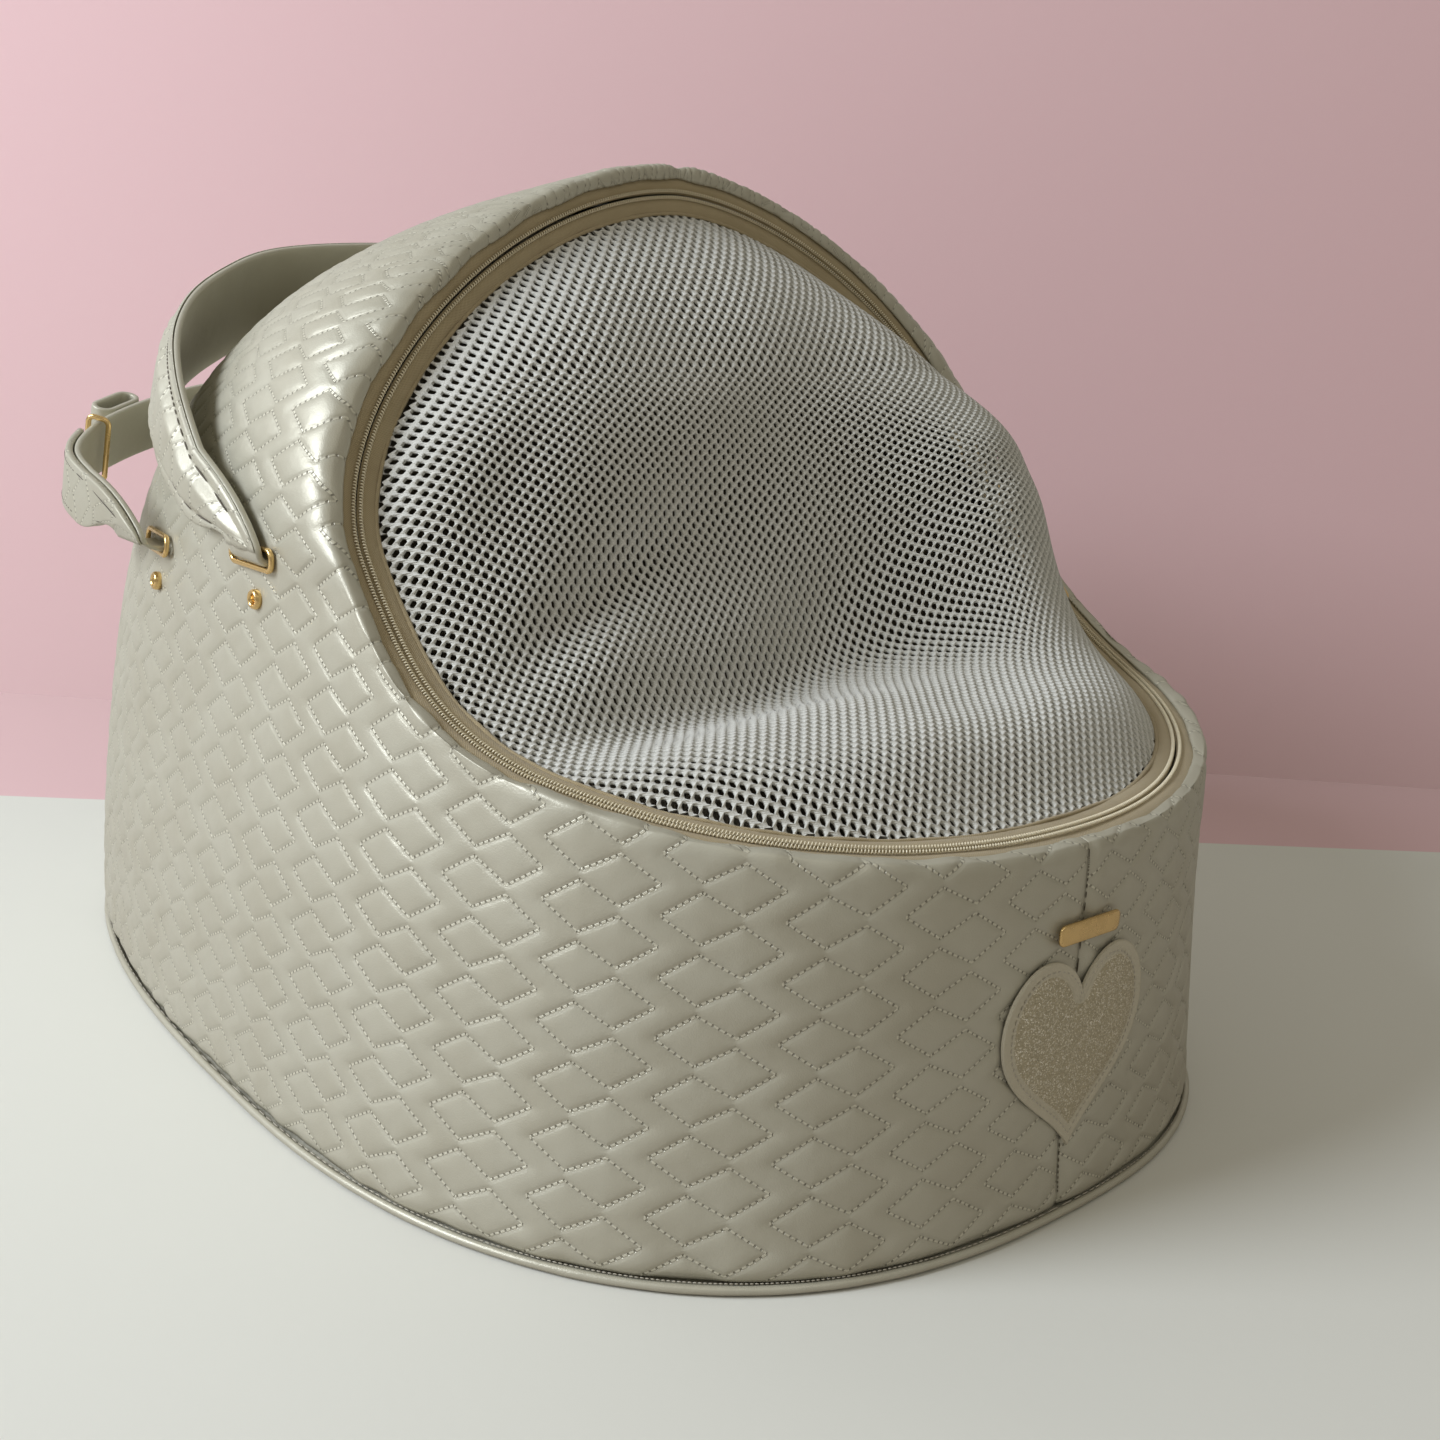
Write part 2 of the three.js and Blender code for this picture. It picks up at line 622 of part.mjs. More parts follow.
// A pull: a flat tab with a window at one end, whose bar lies in the slider's eye.
function pullTab() {
  const half = PULL_WIDTH / 2;
  const outline = new THREE.Shape();
  outline.moveTo(-half, -PULL_BAR / 2);
  outline.lineTo(half, -PULL_BAR / 2);
  outline.lineTo(half * PULL_TIP_SHARE, PULL_LENGTH - half);
  outline.absarc(0, PULL_LENGTH - half, half * PULL_TIP_SHARE, 0, Math.PI, false);
  outline.closePath();
  const window = new THREE.Path();
  window.moveTo(-half + PULL_RAIL, PULL_BAR / 2);
  window.lineTo(-half + PULL_RAIL, PULL_WINDOW);
  window.lineTo(half - PULL_RAIL, PULL_WINDOW);
  window.lineTo(half - PULL_RAIL, PULL_BAR / 2);
  window.closePath();
  outline.holes.push(window);
  const tab = plate3d(outline, PULL_THICKNESS, 5);
  tab.translate(0, 0, -PULL_THICKNESS / 2);
  return tab;
}

const PIVOT_HEIGHT = SLIDER_HEIGHT + (EYE.low + EYE.high) / 2;
const parkS = FRONT_ARCH + SIDE_RUN / 2;
for (const [label, side] of [['lower', -1], ['upper', 1]]) {
  const { y, z, slope } = ramp(parkS + (side * SLIDER_SPREAD) / 2);
  const seat = new THREE.Group();
  seat.position.set(OPENING_WIDTH / 2, y, z);
  seat.rotation.set(slope, 0, 0);
  cover.add(seat);
  const turned = sliderBody().rotateX(Math.PI / 2).rotateZ(Math.PI);
  add(`zip_slider_${label}`, turned, gold, seat);
  const pull = pullTab().rotateZ(side > 0 ? 0 : Math.PI);
  pull.translate(0, 0, PIVOT_HEIGHT);
  add(`zip_pull_${label}`, pull, gold, seat);
}

// ---------------------------------------------------------------------------
// Strap anchors: slot frames, rivets and the strap ends that pass through them
// ---------------------------------------------------------------------------

// The wall's point and normal at a given place on the side, found by halving.
function sideWall(side, y, z) {
  let turn = Math.PI / 2;
  let height = 0.5;
  for (const _ of range(40)) {
    const here = wall(turn, height);
    turn += (y - here.y) / 400;
    height += (z - here.z) / 400;
  }
  const point = wall(turn, height);
  const normal = wallNormal(turn, height);
  return { point: v3(side * point.x, point.y, point.z), normal: v3(side * normal.x, normal.y, normal.z) };
}

function slotFrame() {
  const bar = (width, height, radius, Kind) => {
    const path = new Kind();
    const w = width / 2 - radius;
    const h = height / 2 - radius;
    path.absarc(w, h, radius, 0, Math.PI / 2, false);
    path.absarc(-w, h, radius, Math.PI / 2, Math.PI, false);
    path.absarc(-w, -h, radius, Math.PI, Math.PI * 1.5, false);
    path.absarc(w, -h, radius, Math.PI * 1.5, Math.PI * 2, false);
    path.closePath();
    return path;
  };
  const shape = bar(SLOT_WIDTH + 2 * FRAME_BAR, SLOT_HEIGHT + 2 * FRAME_BAR, FRAME_BAR, THREE.Shape);
  shape.holes.push(bar(SLOT_WIDTH, SLOT_HEIGHT, SLOT_CORNER, THREE.Path));
  return plate3d(shape, FRAME_DEPTH, 3);
}

function rivetHead() {
  const shares = [[0, 0.36], [0.34, 0.29], [0.5, 0.71], [0.68, 1], [0.9, 0.79], [1, 0.29], [1, 0], [0, 0]];
  const points = shares.map(([r, h]) => new THREE.Vector2(r * RIVET_RADIUS, h * RIVET_HEIGHT));
  return new THREE.LatheGeometry(points.reverse(), 14).rotateX(Math.PI / 2);
}

// A strap end: a tongue out of the slot, with a plate that turns up the wall and
// ends in a round that keeps inside the pivot's circle.
function strapEnd() {
  const radius = END_WIDTH / 2;
  const plate = new THREE.Shape();
  plate.moveTo(-radius, -END_THICKNESS / 2);
  plate.lineTo(radius, -END_THICKNESS / 2);
  plate.lineTo(radius, 0);
  plate.absarc(0, 0, radius, 0, Math.PI, false);
  plate.closePath();
  const upright = plate3d(plate, END_THICKNESS, 8);
  upright.translate(0, 0, END_REACH);
  const length = END_REACH + END_THICKNESS / 2 - END_STAND_OFF;
  const tongue = new THREE.BoxGeometry(END_WIDTH, END_THICKNESS, length);
  tongue.translate(0, 0, END_STAND_OFF + length / 2);
  return fromManifold(toManifold(upright).add(toManifold(tongue)));
}

// Local frame of a wall fitting: its z points outwards and its x runs along the cot.
function wallSeat(place, outward) {
  const seat = new THREE.Group();
  const lengthways = UP.clone().cross(outward).normalize();
  const basis = new THREE.Matrix4().makeBasis(lengthways, outward.clone().cross(lengthways), outward);
  seat.quaternion.setFromRotationMatrix(basis);
  seat.position.copy(place);
  cot.add(seat);
  return seat;
}

const anchors = { handle: HANDLE_ANCHOR, strap: STRAP_ANCHOR };
for (const [kind, anchor] of Object.entries(anchors)) {
  for (const [label, side] of [['left', -1], ['right', 1]]) {
    const mouth = sideWall(side, anchor.y, anchor.z);
    const frame = slotFrame();
    frame.translate(0, 0, FRAME_STAND_OFF);
    add(`${kind}_slot_frame_${label}`, frame, gold, wallSeat(mouth.point, mouth.normal));
    const { point, normal } = sideWall(side, anchor.y, anchor.z - RIVET_DROP);
    const rivet = rivetHead();
    rivet.applyQuaternion(new THREE.Quaternion().setFromUnitVectors(UP, normal));
    const place = along(point, normal, RIVET_STAND_OFF);
    add(`${kind}_rivet_${label}`, rivet.translate(place.x, place.y, place.z), gold);
    add(`${kind}_end_${label}`, strapEnd(), plainLeather, wallSeat(mouth.point, v3(side, 0, 0)));
  }
}

// ---------------------------------------------------------------------------
// Carry handle and adjustable strap
// ---------------------------------------------------------------------------

const sideX = (anchor) => sideWall(1, anchor.y, anchor.z).point.x;
const legX = (anchor) => sideX(anchor) + END_REACH + END_THICKNESS / 2;
const LEG_START = END_WIDTH / 2 + PIVOT_CLEARANCE;

// An arch over the cot in its own plane: x across and r away from the pivot line, as
// shares of the leg's x and of the rise.
function archCurve(anchor, rise, tilt, shares) {
  const leg = legX(anchor);
  const back = v3(0, Math.cos(rad(tilt)), Math.sin(rad(tilt)));
  const above = v3(0, -Math.sin(rad(tilt)), Math.cos(rad(tilt)));
  const pivot = v3(0, anchor.y, anchor.z);
  const place = ([x, r], side) => along(pivot, back, LEG_START + (rise - LEG_START) * r).setX(side * leg * x);
  const left = shares.map((share) => place(share, -1));
  const right = shares.slice(0, -1).reverse().map((share) => place(share, 1));
  return { curve: new THREE.CatmullRomCurve3([...left, ...right]), above };
}

// The directions along, across and out of a band at a share u of its arch.
function bandAxes({ curve, above }, u) {
  const tangent = curve.getTangentAt(u);
  const side = above.clone().addScaledVector(tangent, -above.dot(tangent)).normalize();
  return { tangent, side, out: side.clone().cross(tangent).normalize() };
}

// A flat band along an arch: its width lies across the swing, its layers stack
// outwards from near to far. It may cover only the steps from first to last.
function archBand(arch, width, near, far, first = 0, last = ARCH_STEPS) {
  const rings = range(last - first + 1).map((i) => {
    const u = (first + i) / ARCH_STEPS;
    const { side, out } = bandAxes(arch, u);
    const half = width(u) / 2;
    const section = [[-half, near], [half, near], [half, far], [-half, far]];
    return ringAt(arch.curve.getPointAt(u), side, out, section);
  });
  return sweep(rings, false);
}

const handleShares = [
  [1, 0], [0.99, 0.2], [0.96, 0.4], [0.91, 0.55], [0.82, 0.7],
  [0.7, 0.82], [0.57, 0.91], [0.36, 0.97], [0, 1],
];
const handleArch = archCurve(HANDLE_ANCHOR, HANDLE_RISE, HANDLE_TILT, handleShares);
const TAPER_SHARE = 0.17;
const taper = (u) => THREE.MathUtils.smoothstep(Math.min(u, 1 - u), 0, TAPER_SHARE);
const handleWidth = (u) => END_WIDTH + (HANDLE_WIDTH - END_WIDTH) * taper(u);
const padWidth = (u) => handleWidth(u) - PAD_MARGIN;
const handle = new THREE.Group();
cot.add(handle);
const layerHalf = HANDLE_LAYER / 2;
add('handle_backing', archBand(handleArch, handleWidth, -layerHalf, layerHalf), plainLeather, handle);
const padStart = layerHalf + SEAT_GAP;
add('handle_pad', archBand(handleArch, padWidth, padStart, padStart + HANDLE_LAYER), pearlLeather, handle);

const strapShares = [
  [1, 0], [1.04, 0.2], [1.04, 0.36], [0.97, 0.52], [0.86, 0.66],
  [0.73, 0.78], [0.58, 0.88], [0.38, 0.95], [0, 1],
];
const strapArch = archCurve(STRAP_ANCHOR, STRAP_RISE, STRAP_TILT, strapShares);
const strapWidth = () => STRAP_WIDTH;
const strap = new THREE.Group();
cot.add(strap);
const strapHalf = STRAP_THICKNESS / 2;
add('adjustable_strap', archBand(strapArch, strapWidth, -strapHalf, strapHalf), plainLeather, strap);
const tailStart = strapHalf + SEAT_GAP;

// Sets a shape drawn across a strap at a share u of its length, its depth along x.
function seatOnStrap(geometry, u, lengthways) {
  const point = strapArch.curve.getPointAt(u);
  const { tangent, side, out } = bandAxes(strapArch, u);
  const first = lengthways ? tangent : side;
  const basis = new THREE.Matrix4().makeBasis(first, out, first.clone().cross(out));
  return geometry.applyMatrix4(basis.setPosition(point));
}

// A gold ring round the strap.
function adjusterRing(u) {
  const halfSlot = STRAP_WIDTH / 2 + RING_CLEARANCE;
  const box = (path, grow) => {
    path.moveTo(-halfSlot - grow, -RING_SLOT / 2 - grow);
    path.lineTo(halfSlot + grow, -RING_SLOT / 2 - grow);
    path.lineTo(halfSlot + grow, RING_SLOT / 2 + grow);
    path.lineTo(-halfSlot - grow, RING_SLOT / 2 + grow);
    path.closePath();
    return path;
  };
  const shape = box(new THREE.Shape(), RING_BAR);
  shape.holes.push(box(new THREE.Path(), 0));
  const ring = plate3d(shape, RING_BAR);
  return seatOnStrap(ring.translate(0, 0, -RING_BAR / 2), u, false);
}

// The strap's folded tail: a closed loop that stands on the outside of the strap.
function tailLoop(u) {
  const flat = (path, length, depth) => {
    const radius = depth / 2;
    const run = length / 2 - radius;
    path.absarc(run, radius, radius, -Math.PI / 2, Math.PI / 2, false);
    path.absarc(-run, radius, radius, Math.PI / 2, Math.PI * 1.5, false);
    path.closePath();
    return path;
  };
  const shape = flat(new THREE.Shape(), LOOP_LENGTH, LOOP_DEPTH);
  const hollow = flat(new THREE.Path(), LOOP_LENGTH - 2 * STRAP_THICKNESS, LOOP_DEPTH - 2 * STRAP_THICKNESS);
  const moved = new THREE.Path(hollow.getPoints(6).map((p) => p.add(new THREE.Vector2(0, STRAP_THICKNESS))));
  shape.holes.push(moved);
  const loop = plate3d(shape, STRAP_WIDTH, 6);
  return seatOnStrap(loop.translate(0, tailStart, -STRAP_WIDTH / 2), u, true);
}

for (const [label, onRight] of [['left', false], ['right', true]]) {
  const station = (u) => (onRight ? 1 - u : u);
  const ends = TAB_STEPS.map((step) => (onRight ? ARCH_STEPS - step : step));
  const [first, last] = ends.sort((a, b) => a - b);
  const tab = archBand(strapArch, strapWidth, tailStart, tailStart + STRAP_THICKNESS, first, last);
  add(`strap_tab_${label}`, tab, plainLeather, strap);
  add(`strap_loop_${label}`, tailLoop(station(LOOP_STATION)), plainLeather, strap);
  add(`adjuster_ring_${label}`, adjusterRing(station(RING_STATION)), gold, strap);
}

// ---------------------------------------------------------------------------
// Front trim
// ---------------------------------------------------------------------------

// The front wall's point and normal at a place given by x and z.
function frontWall(x, z) {
  let turn = x / 200;
  let height = 0.4;
  for (const _ of range(40)) {
    const here = wall(turn, height);
    turn += (x - here.x) / 500;
    height += (z - here.z) / 250;
  }
  return { point: wall(turn, height), normal: wallNormal(turn, height) };
}

// A thin patch on the front wall, from an outline round a centre.
function frontPatch(outline, centreZ, thickness) {
  const reaches = [1, 0.66, 0.33, 0];
  const grid = (height) => outline.map(([x, z]) => reaches.map((k) => {
    const { point, normal } = frontWall(x * k, centreZ + (z - centreZ) * k);
    return along(point, normal, height);
  }));
  return slab(grid(PATCH_STAND_OFF + thickness), grid(PATCH_STAND_OFF), true);
}

// A plain heart: two round lobes over a straight-sided point. Its height is a sum of
// waves, brought to between 0 and 1 by their lowest value and their span.
const HEART_WAVE_LOW = 15.5;
const HEART_WAVE_SPAN = 27.2;
function heartOutline() {
  return range(28).map((i) => {
    const a = (2 * Math.PI * i) / 28;
    const x = signedPower(Math.sin(a), 3);
    const waves = 13 * Math.cos(a) - 3.5 * Math.cos(2 * a) - 2 * Math.cos(3 * a) - Math.cos(4 * a);
    const z = (waves + HEART_WAVE_LOW) / HEART_WAVE_SPAN;
    return [(x * HEART_WIDTH) / 2, HEART_TIP_Z + z * HEART_HEIGHT];
  });
}
const heartCentre = HEART_TIP_Z + HEART_HEIGHT / 2;
add('heart_patch', frontPatch(heartOutline(), heartCentre, PATCH_THICKNESS), glitter);

const plateZ = HEART_TIP_Z + HEART_HEIGHT + PLATE_GAP_ABOVE_HEART;
const plateOutline = range(16).map((i) => {
  const a = (2 * Math.PI * (i + 0.5)) / 16;
  const end = Math.sign(Math.cos(a)) * (PLATE_WIDTH - PLATE_HEIGHT) / 2;
  return [end + (Math.cos(a) * PLATE_HEIGHT) / 2, plateZ + (Math.sin(a) * PLATE_HEIGHT) / 2];
});
add('plain_plate', frontPatch(plateOutline, plateZ, PLATE_THICKNESS), gold);

export default cot;
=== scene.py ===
"""A soft-sided pet cot: quilted pearl shell, zipped air-mesh cover, padded carry handle.

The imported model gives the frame. Each sub-assembly of the cot is a class that holds its
sizes and makes its own meshes; each finish is a small frozen class that makes a material.
Everything is in metres, +Z up, with the front of the cot facing -Y.
"""

import json
import logging
import math
from dataclasses import dataclass, field
from enum import Enum
from functools import cached_property
from typing import Any, Callable, Iterable

import bmesh
import bpy
import numpy as np
from mathutils import Matrix, Vector

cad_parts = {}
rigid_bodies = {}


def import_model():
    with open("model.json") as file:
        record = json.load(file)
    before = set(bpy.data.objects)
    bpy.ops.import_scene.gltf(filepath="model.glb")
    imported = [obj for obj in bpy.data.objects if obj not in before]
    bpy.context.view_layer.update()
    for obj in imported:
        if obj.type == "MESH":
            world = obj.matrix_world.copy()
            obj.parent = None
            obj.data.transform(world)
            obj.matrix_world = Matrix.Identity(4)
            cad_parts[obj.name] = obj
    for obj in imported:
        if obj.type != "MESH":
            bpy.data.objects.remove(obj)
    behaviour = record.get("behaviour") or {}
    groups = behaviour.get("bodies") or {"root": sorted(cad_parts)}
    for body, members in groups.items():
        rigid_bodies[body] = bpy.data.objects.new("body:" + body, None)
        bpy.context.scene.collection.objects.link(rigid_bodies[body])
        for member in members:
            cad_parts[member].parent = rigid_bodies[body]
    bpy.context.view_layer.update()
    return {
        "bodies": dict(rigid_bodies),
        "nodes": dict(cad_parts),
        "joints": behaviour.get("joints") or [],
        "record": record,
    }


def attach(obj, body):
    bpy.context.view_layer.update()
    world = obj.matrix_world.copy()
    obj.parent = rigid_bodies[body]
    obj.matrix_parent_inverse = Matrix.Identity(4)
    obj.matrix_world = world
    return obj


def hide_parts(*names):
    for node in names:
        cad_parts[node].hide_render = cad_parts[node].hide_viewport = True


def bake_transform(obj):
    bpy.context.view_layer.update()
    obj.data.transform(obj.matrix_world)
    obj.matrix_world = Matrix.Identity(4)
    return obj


logging.basicConfig(level=logging.INFO, format="%(name)s: %(message)s")
log = logging.getLogger("pet_cot")

MM = 0.001
TURN = 2 * math.pi
UP = (0.0, 0.0, 1.0)
MIRROR = np.array([-1.0, 1.0, 1.0])

Array = np.ndarray
Socket = bpy.types.NodeSocket
Colour = tuple[float, float, float]
Placing = Callable[[Array, Array], Array]


class Side(Enum):
    """The two sides of the cot, valued by the sign of X."""

    LEFT = -1
    RIGHT = 1

    @property
    def label(self) -> str:
        """The word that ends this side's piece names."""
        return self.name.lower()


class Slot(str, Enum):
    """The record's material slots."""

    PEARL = "pearl_leather"
    PLAIN = "plain_leather"
    LINING = "lining_cloth"
    FOAM = "foam_core"
    BOARD = "base_board"
    CUSHION = "cushion_cloth"
    TAPE = "zip_tape"
    COIL = "zip_coil"
    MESH = "air_mesh"
    STEEL = "steel_wire"
    GLITTER = "glitter_fabric"
    GOLD = "gold_metal"


# ---------------------------------------------------------------------------
# Small geometry helpers
# ---------------------------------------------------------------------------


def unit(vectors: Array) -> Array:
    """Vectors scaled to length one along their last axis."""
    length = np.linalg.norm(vectors, axis=-1, keepdims=True)
    return vectors / np.maximum(length, 1e-12)


def smoothstep(value: Array | float, low: float, high: float) -> Array:
    """A smooth rise from 0 at low to 1 at high."""
    share = np.clip((np.asarray(value, float) - low) / (high - low), 0, 1)
    return share * share * (3 - 2 * share)


def hump(distance: Array, width: float) -> Array:
    """A smooth bell: 1 where the distance is nought, and almost 0 at twice the width."""
    return np.exp(-((distance / width) ** 2))


def signed_power(value: Array, power: float) -> Array:
    """A power of the size of a value, with its sign kept."""
    return np.sign(value) * np.abs(value) ** power


def run_length(points: Array, axis: int = 0) -> Array:
    """The distance along lines of points, which run along an axis, at each point."""
    steps = np.linalg.norm(np.diff(points, axis=axis), axis=-1)
    start = np.zeros_like(np.take(steps, [0], axis=axis))
    return np.concatenate([start, np.cumsum(steps, axis=axis)], axis=axis)


def even_shares(values: Array, length: Array, count: int) -> Array:
    """The values that part a length into count even shares."""
    return np.interp(np.linspace(0, length[-1], count + 1), length, values)


def spaced(points: Array, count: int) -> Array:
    """Resample a line.

    Args:
        points: The line's points, one row each.
        count: How many evenly spaced points to return, both ends included.

    Returns:
        The evenly spaced points.
    """
    length = run_length(points)
    return np.stack([even_shares(column, length, count - 1) for column in points.T], axis=1)


def polyline_distance(points: Array, corners: Array) -> Array:
    """Shortest distance from flat points to a line of flat segments.

    Args:
        points: Flat points, one row each.
        corners: The line's corners in order, one row each.

    Returns:
        One distance per point.
    """
    best = np.full(len(points), np.inf)
    for start, end in zip(corners[:-1], corners[1:]):
        run = end - start
        share = np.clip(((points - start) @ run) / max(run @ run, 1e-18), 0, 1)
        gap = np.linalg.norm(points - start - share[:, None] * run, axis=1)
        best = np.minimum(best, gap)
    return best


def ripple(points: Array, size: float, seed: int) -> Array:
    """A gentle, repeatable unevenness.

    Args:
        points: Places in space, one row each.
        size: The length of its waves.
        seed: Chooses the waves.

    Returns:
        One value per place, mostly between -1 and 1.
    """
    count, pace, scatter, spread = 7, 0.55, 9, 3.2
    waves = np.random.default_rng(seed).normal(size=(count, 4))
    total = np.zeros(len(points))
    for *direction, phase in waves:
        total += np.sin(points @ np.array(direction) * (TURN / size) * pace + phase * scatter)
    return total / spread


def closed_ripple(points: Array, size: float, seed: int, height: float) -> Array:
    """A ripple of some height along a closed line, the same at both its ends."""
    wave = ripple(points, size, seed) * height
    wave[-1] = wave[0]
    return wave


# ---------------------------------------------------------------------------
# Mesh making
# ---------------------------------------------------------------------------


def place_object(name: str, bm: bmesh.types.BMesh, smooth: bool = True) -> bpy.types.Object:
    """Turn a finished bmesh into an object at the origin.

    Args:
        name: The piece's name.
        bm: The mesh, which is freed.
        smooth: Whether its faces are shaded smooth.

    Returns:
        The new object.
    """
    mesh = bpy.data.meshes.new(name)
    bm.to_mesh(mesh)
    bm.free()
    mesh.polygons.foreach_set("use_smooth", np.full(len(mesh.polygons), smooth))
    piece = bpy.data.objects.new(name, mesh)
    bpy.context.scene.collection.objects.link(piece)
    return piece


@dataclass
class Formed:
    """A grid of faces that is shaped by a placing function.

    The grid comes from an operator; place moves its points, and closed directions are
    merged where their ends meet.
    """

    name: str
    columns: int
    rows: int
    place: Placing
    chart: Placing | None = None
    capped: bool = False
    attribute: tuple[str, Placing] | None = None
    merge: float = 2e-6

    def mesh(self) -> bmesh.types.BMesh:
        """The shaped grid, merged, capped and with its faces outwards."""
        bm = bmesh.new()
        bmesh.ops.create_grid(bm, x_segments=self.columns, y_segments=self.rows, size=0.5)
        flat = np.array([v.co[:2] for v in bm.verts]) + 0.5
        i = np.round(flat[:, 0] * self.columns).astype(int)
        j = np.round(flat[:, 1] * self.rows).astype(int)
        places = self.place(i, j)
        for vert, co in zip(bm.verts, places):
            vert.co = co
        if self.chart is not None:
            charted = self.chart(i, j)
            layer = bm.loops.layers.uv.new("UVMap")
            bm.verts.index_update()
            for face in bm.faces:
                for loop in face.loops:
                    loop[layer].uv = charted[loop.vert.index]
        if self.attribute is not None:
            title, values = self.attribute
            floats = bm.verts.layers.float.new(title)
            for vert, value in zip(bm.verts, values(i, j)):
                vert[floats] = value
        bmesh.ops.remove_doubles(bm, verts=bm.verts[:], dist=self.merge)
        if self.capped:
            bmesh.ops.holes_fill(bm, edges=bm.edges[:], sides=0)
        if all(edge.is_manifold for edge in bm.edges):
            bmesh.ops.recalc_face_normals(bm, faces=bm.faces[:])
        return bm

    def make(self) -> bpy.types.Object:
        """The finished object."""
        return place_object(self.name, self.mesh())


def oval_section(width: float, height: float, power: float, count: int) -> Array:
    """A rounded section.

    Args:
        width: Its full width.
        height: Its full height.
        power: 2 for an ellipse, more for squarer corners.
        count: How many points; the last repeats the first.

    Returns:
        Points as (across, up), one row each.
    """
    angle = np.linspace(0, TURN, count)
    across = signed_power(np.cos(angle), 2 / power) * width / 2
    upwards = signed_power(np.sin(angle), 2 / power) * height / 2
    return np.stack([across, upwards], axis=1)


@dataclass
class Frames:
    """Stations along a line, each with a point and two directions square to the line."""

    point: Array
    across: Array
    above: Array

    @property
    def length(self) -> Array:
        """The distance along the line at each station."""
        return run_length(self.point)

    def at(self, i: Array, offset: Array) -> Array:
        """Points at stations i, moved by offset's (across, above) columns."""
        return self.point[i] + self.across[i] * offset[:, :1] + self.above[i] * offset[:, 1:]

    def part(self, pick: Array | slice) -> "Frames":
        """Some of the stations."""
        return Frames(self.point[pick], self.across[pick], self.above[pick])


def swept(
    name: str,
    frames: Frames,
    section: Placing | Array,
    sides: int,
    capped: bool = True,
) -> bpy.types.Object:
    """A bar swept along frames.

    Args:
        name: The piece's name.
        frames: The stations; the last repeats the first on a closed loop.
        section: Its (across, above) points, or what gives them for stations and sides.
        sides: How many sides the section has.
        capped: Whether open ends are filled.

    Returns:
        The new object, charted as (distance round the section, distance along).
    """
    shape = section if callable(section) else lambda i, j: section[j]
    stations = len(frames.point) - 1
    length = frames.length
    halfway, around = np.full(sides + 1, stations // 2), np.arange(sides + 1)
    girth = run_length(frames.at(halfway, shape(halfway, around)))
    return Formed(
        name, stations, sides,
        lambda i, j: frames.at(i, shape(i, j)),
        lambda i, j: np.stack([girth[j], length[i]], axis=1),
        capped,
    ).make()


def softened_copy(
    name: str, node: bpy.types.Object, edge: float, sharp: float, shaded: float
) -> bpy.types.Object:
    """A CAD node's shape with its hard edges rounded.

    Args:
        name: The piece's name.
        node: The CAD node's object.
        edge: The width of the rounded edges.
        sharp: The least angle of an edge that is rounded.
        shaded: The least angle of an edge that is shaded sharp.

    Returns:
        The new object.
    """
    bm = bmesh.new()
    bm.from_mesh(node.data)
    bmesh.ops.remove_doubles(bm, verts=bm.verts[:], dist=1e-6)
    bmesh.ops.dissolve_limit(
        bm, angle_limit=math.radians(1.0), verts=bm.verts[:], edges=bm.edges[:]
    )
    hard = [e for e in bm.edges if e.is_manifold and e.calc_face_angle(0) > sharp]
    bmesh.ops.bevel(
        bm, geom=hard, offset=edge, segments=2, profile=0.5, affect="EDGES",
        material=-1, clamp_overlap=True, offset_type="OFFSET",
    )
    piece = place_object(name, bm)
    piece.data.set_sharp_from_angle(angle=shaded)
    return piece


@dataclass(frozen=True)
class StitchRun:
    """A row of sewn stitches, each a short rounded thread laid along a line."""

    pitch: float
    thread: float
    share: float = 0.68
    flatness: float = 1.3

    def lay(self, name: str, lines: Iterable[tuple[Array, Array]]) -> bpy.types.Object:
        """Lay stitches along lines.

        Args:
            name: The piece's name.
            lines: For each line its points and the surface's outward directions there.

        Returns:
            One object with every stitch.
        """
        bm = bmesh.new()
        for points, outwards in lines:
            steps = np.linalg.norm(np.diff(points, axis=0), axis=1)
            count = max(int(steps.sum() / self.pitch), 1) + 1
            track = spaced(np.concatenate([points, outwards], axis=1), count)
            for start, end in zip(track[:-1], track[1:]):
                run = Vector(end[:3] - start[:3])
                along = run.normalized()
                up = Vector(start[3:])
                up = (up - along * up.dot(along)).normalized()
                centre = Vector((start[:3] + end[:3]) / 2)
                size = Vector((self.thread, self.thread / self.flatness,
                               run.length * self.share)) / 2
                basis = Matrix((along.cross(up), up, along)).transposed().to_4x4()
                seat = Matrix.Translation(centre) @ basis @ Matrix.Diagonal(size).to_4x4()
                bmesh.ops.create_uvsphere(
                    bm, u_segments=6, v_segments=4, radius=1.0, matrix=seat
                )
        return place_object(name, bm)


# ---------------------------------------------------------------------------
# The cot's form
# ---------------------------------------------------------------------------


@dataclass(frozen=True)
class RoundAmount:
    """A value that varies round the cot, by its front, side and rear amounts."""

    front: float
    side: float
    rear: float

    def at(self, t: Array) -> Array:
        """The blended value at turns t."""
        ahead = np.clip(np.cos(t), 0, None) ** 2
        behind = np.clip(-np.cos(t), 0, None) ** 2
        return self.side + (self.front - self.side) * ahead + (self.rear - self.side) * behind


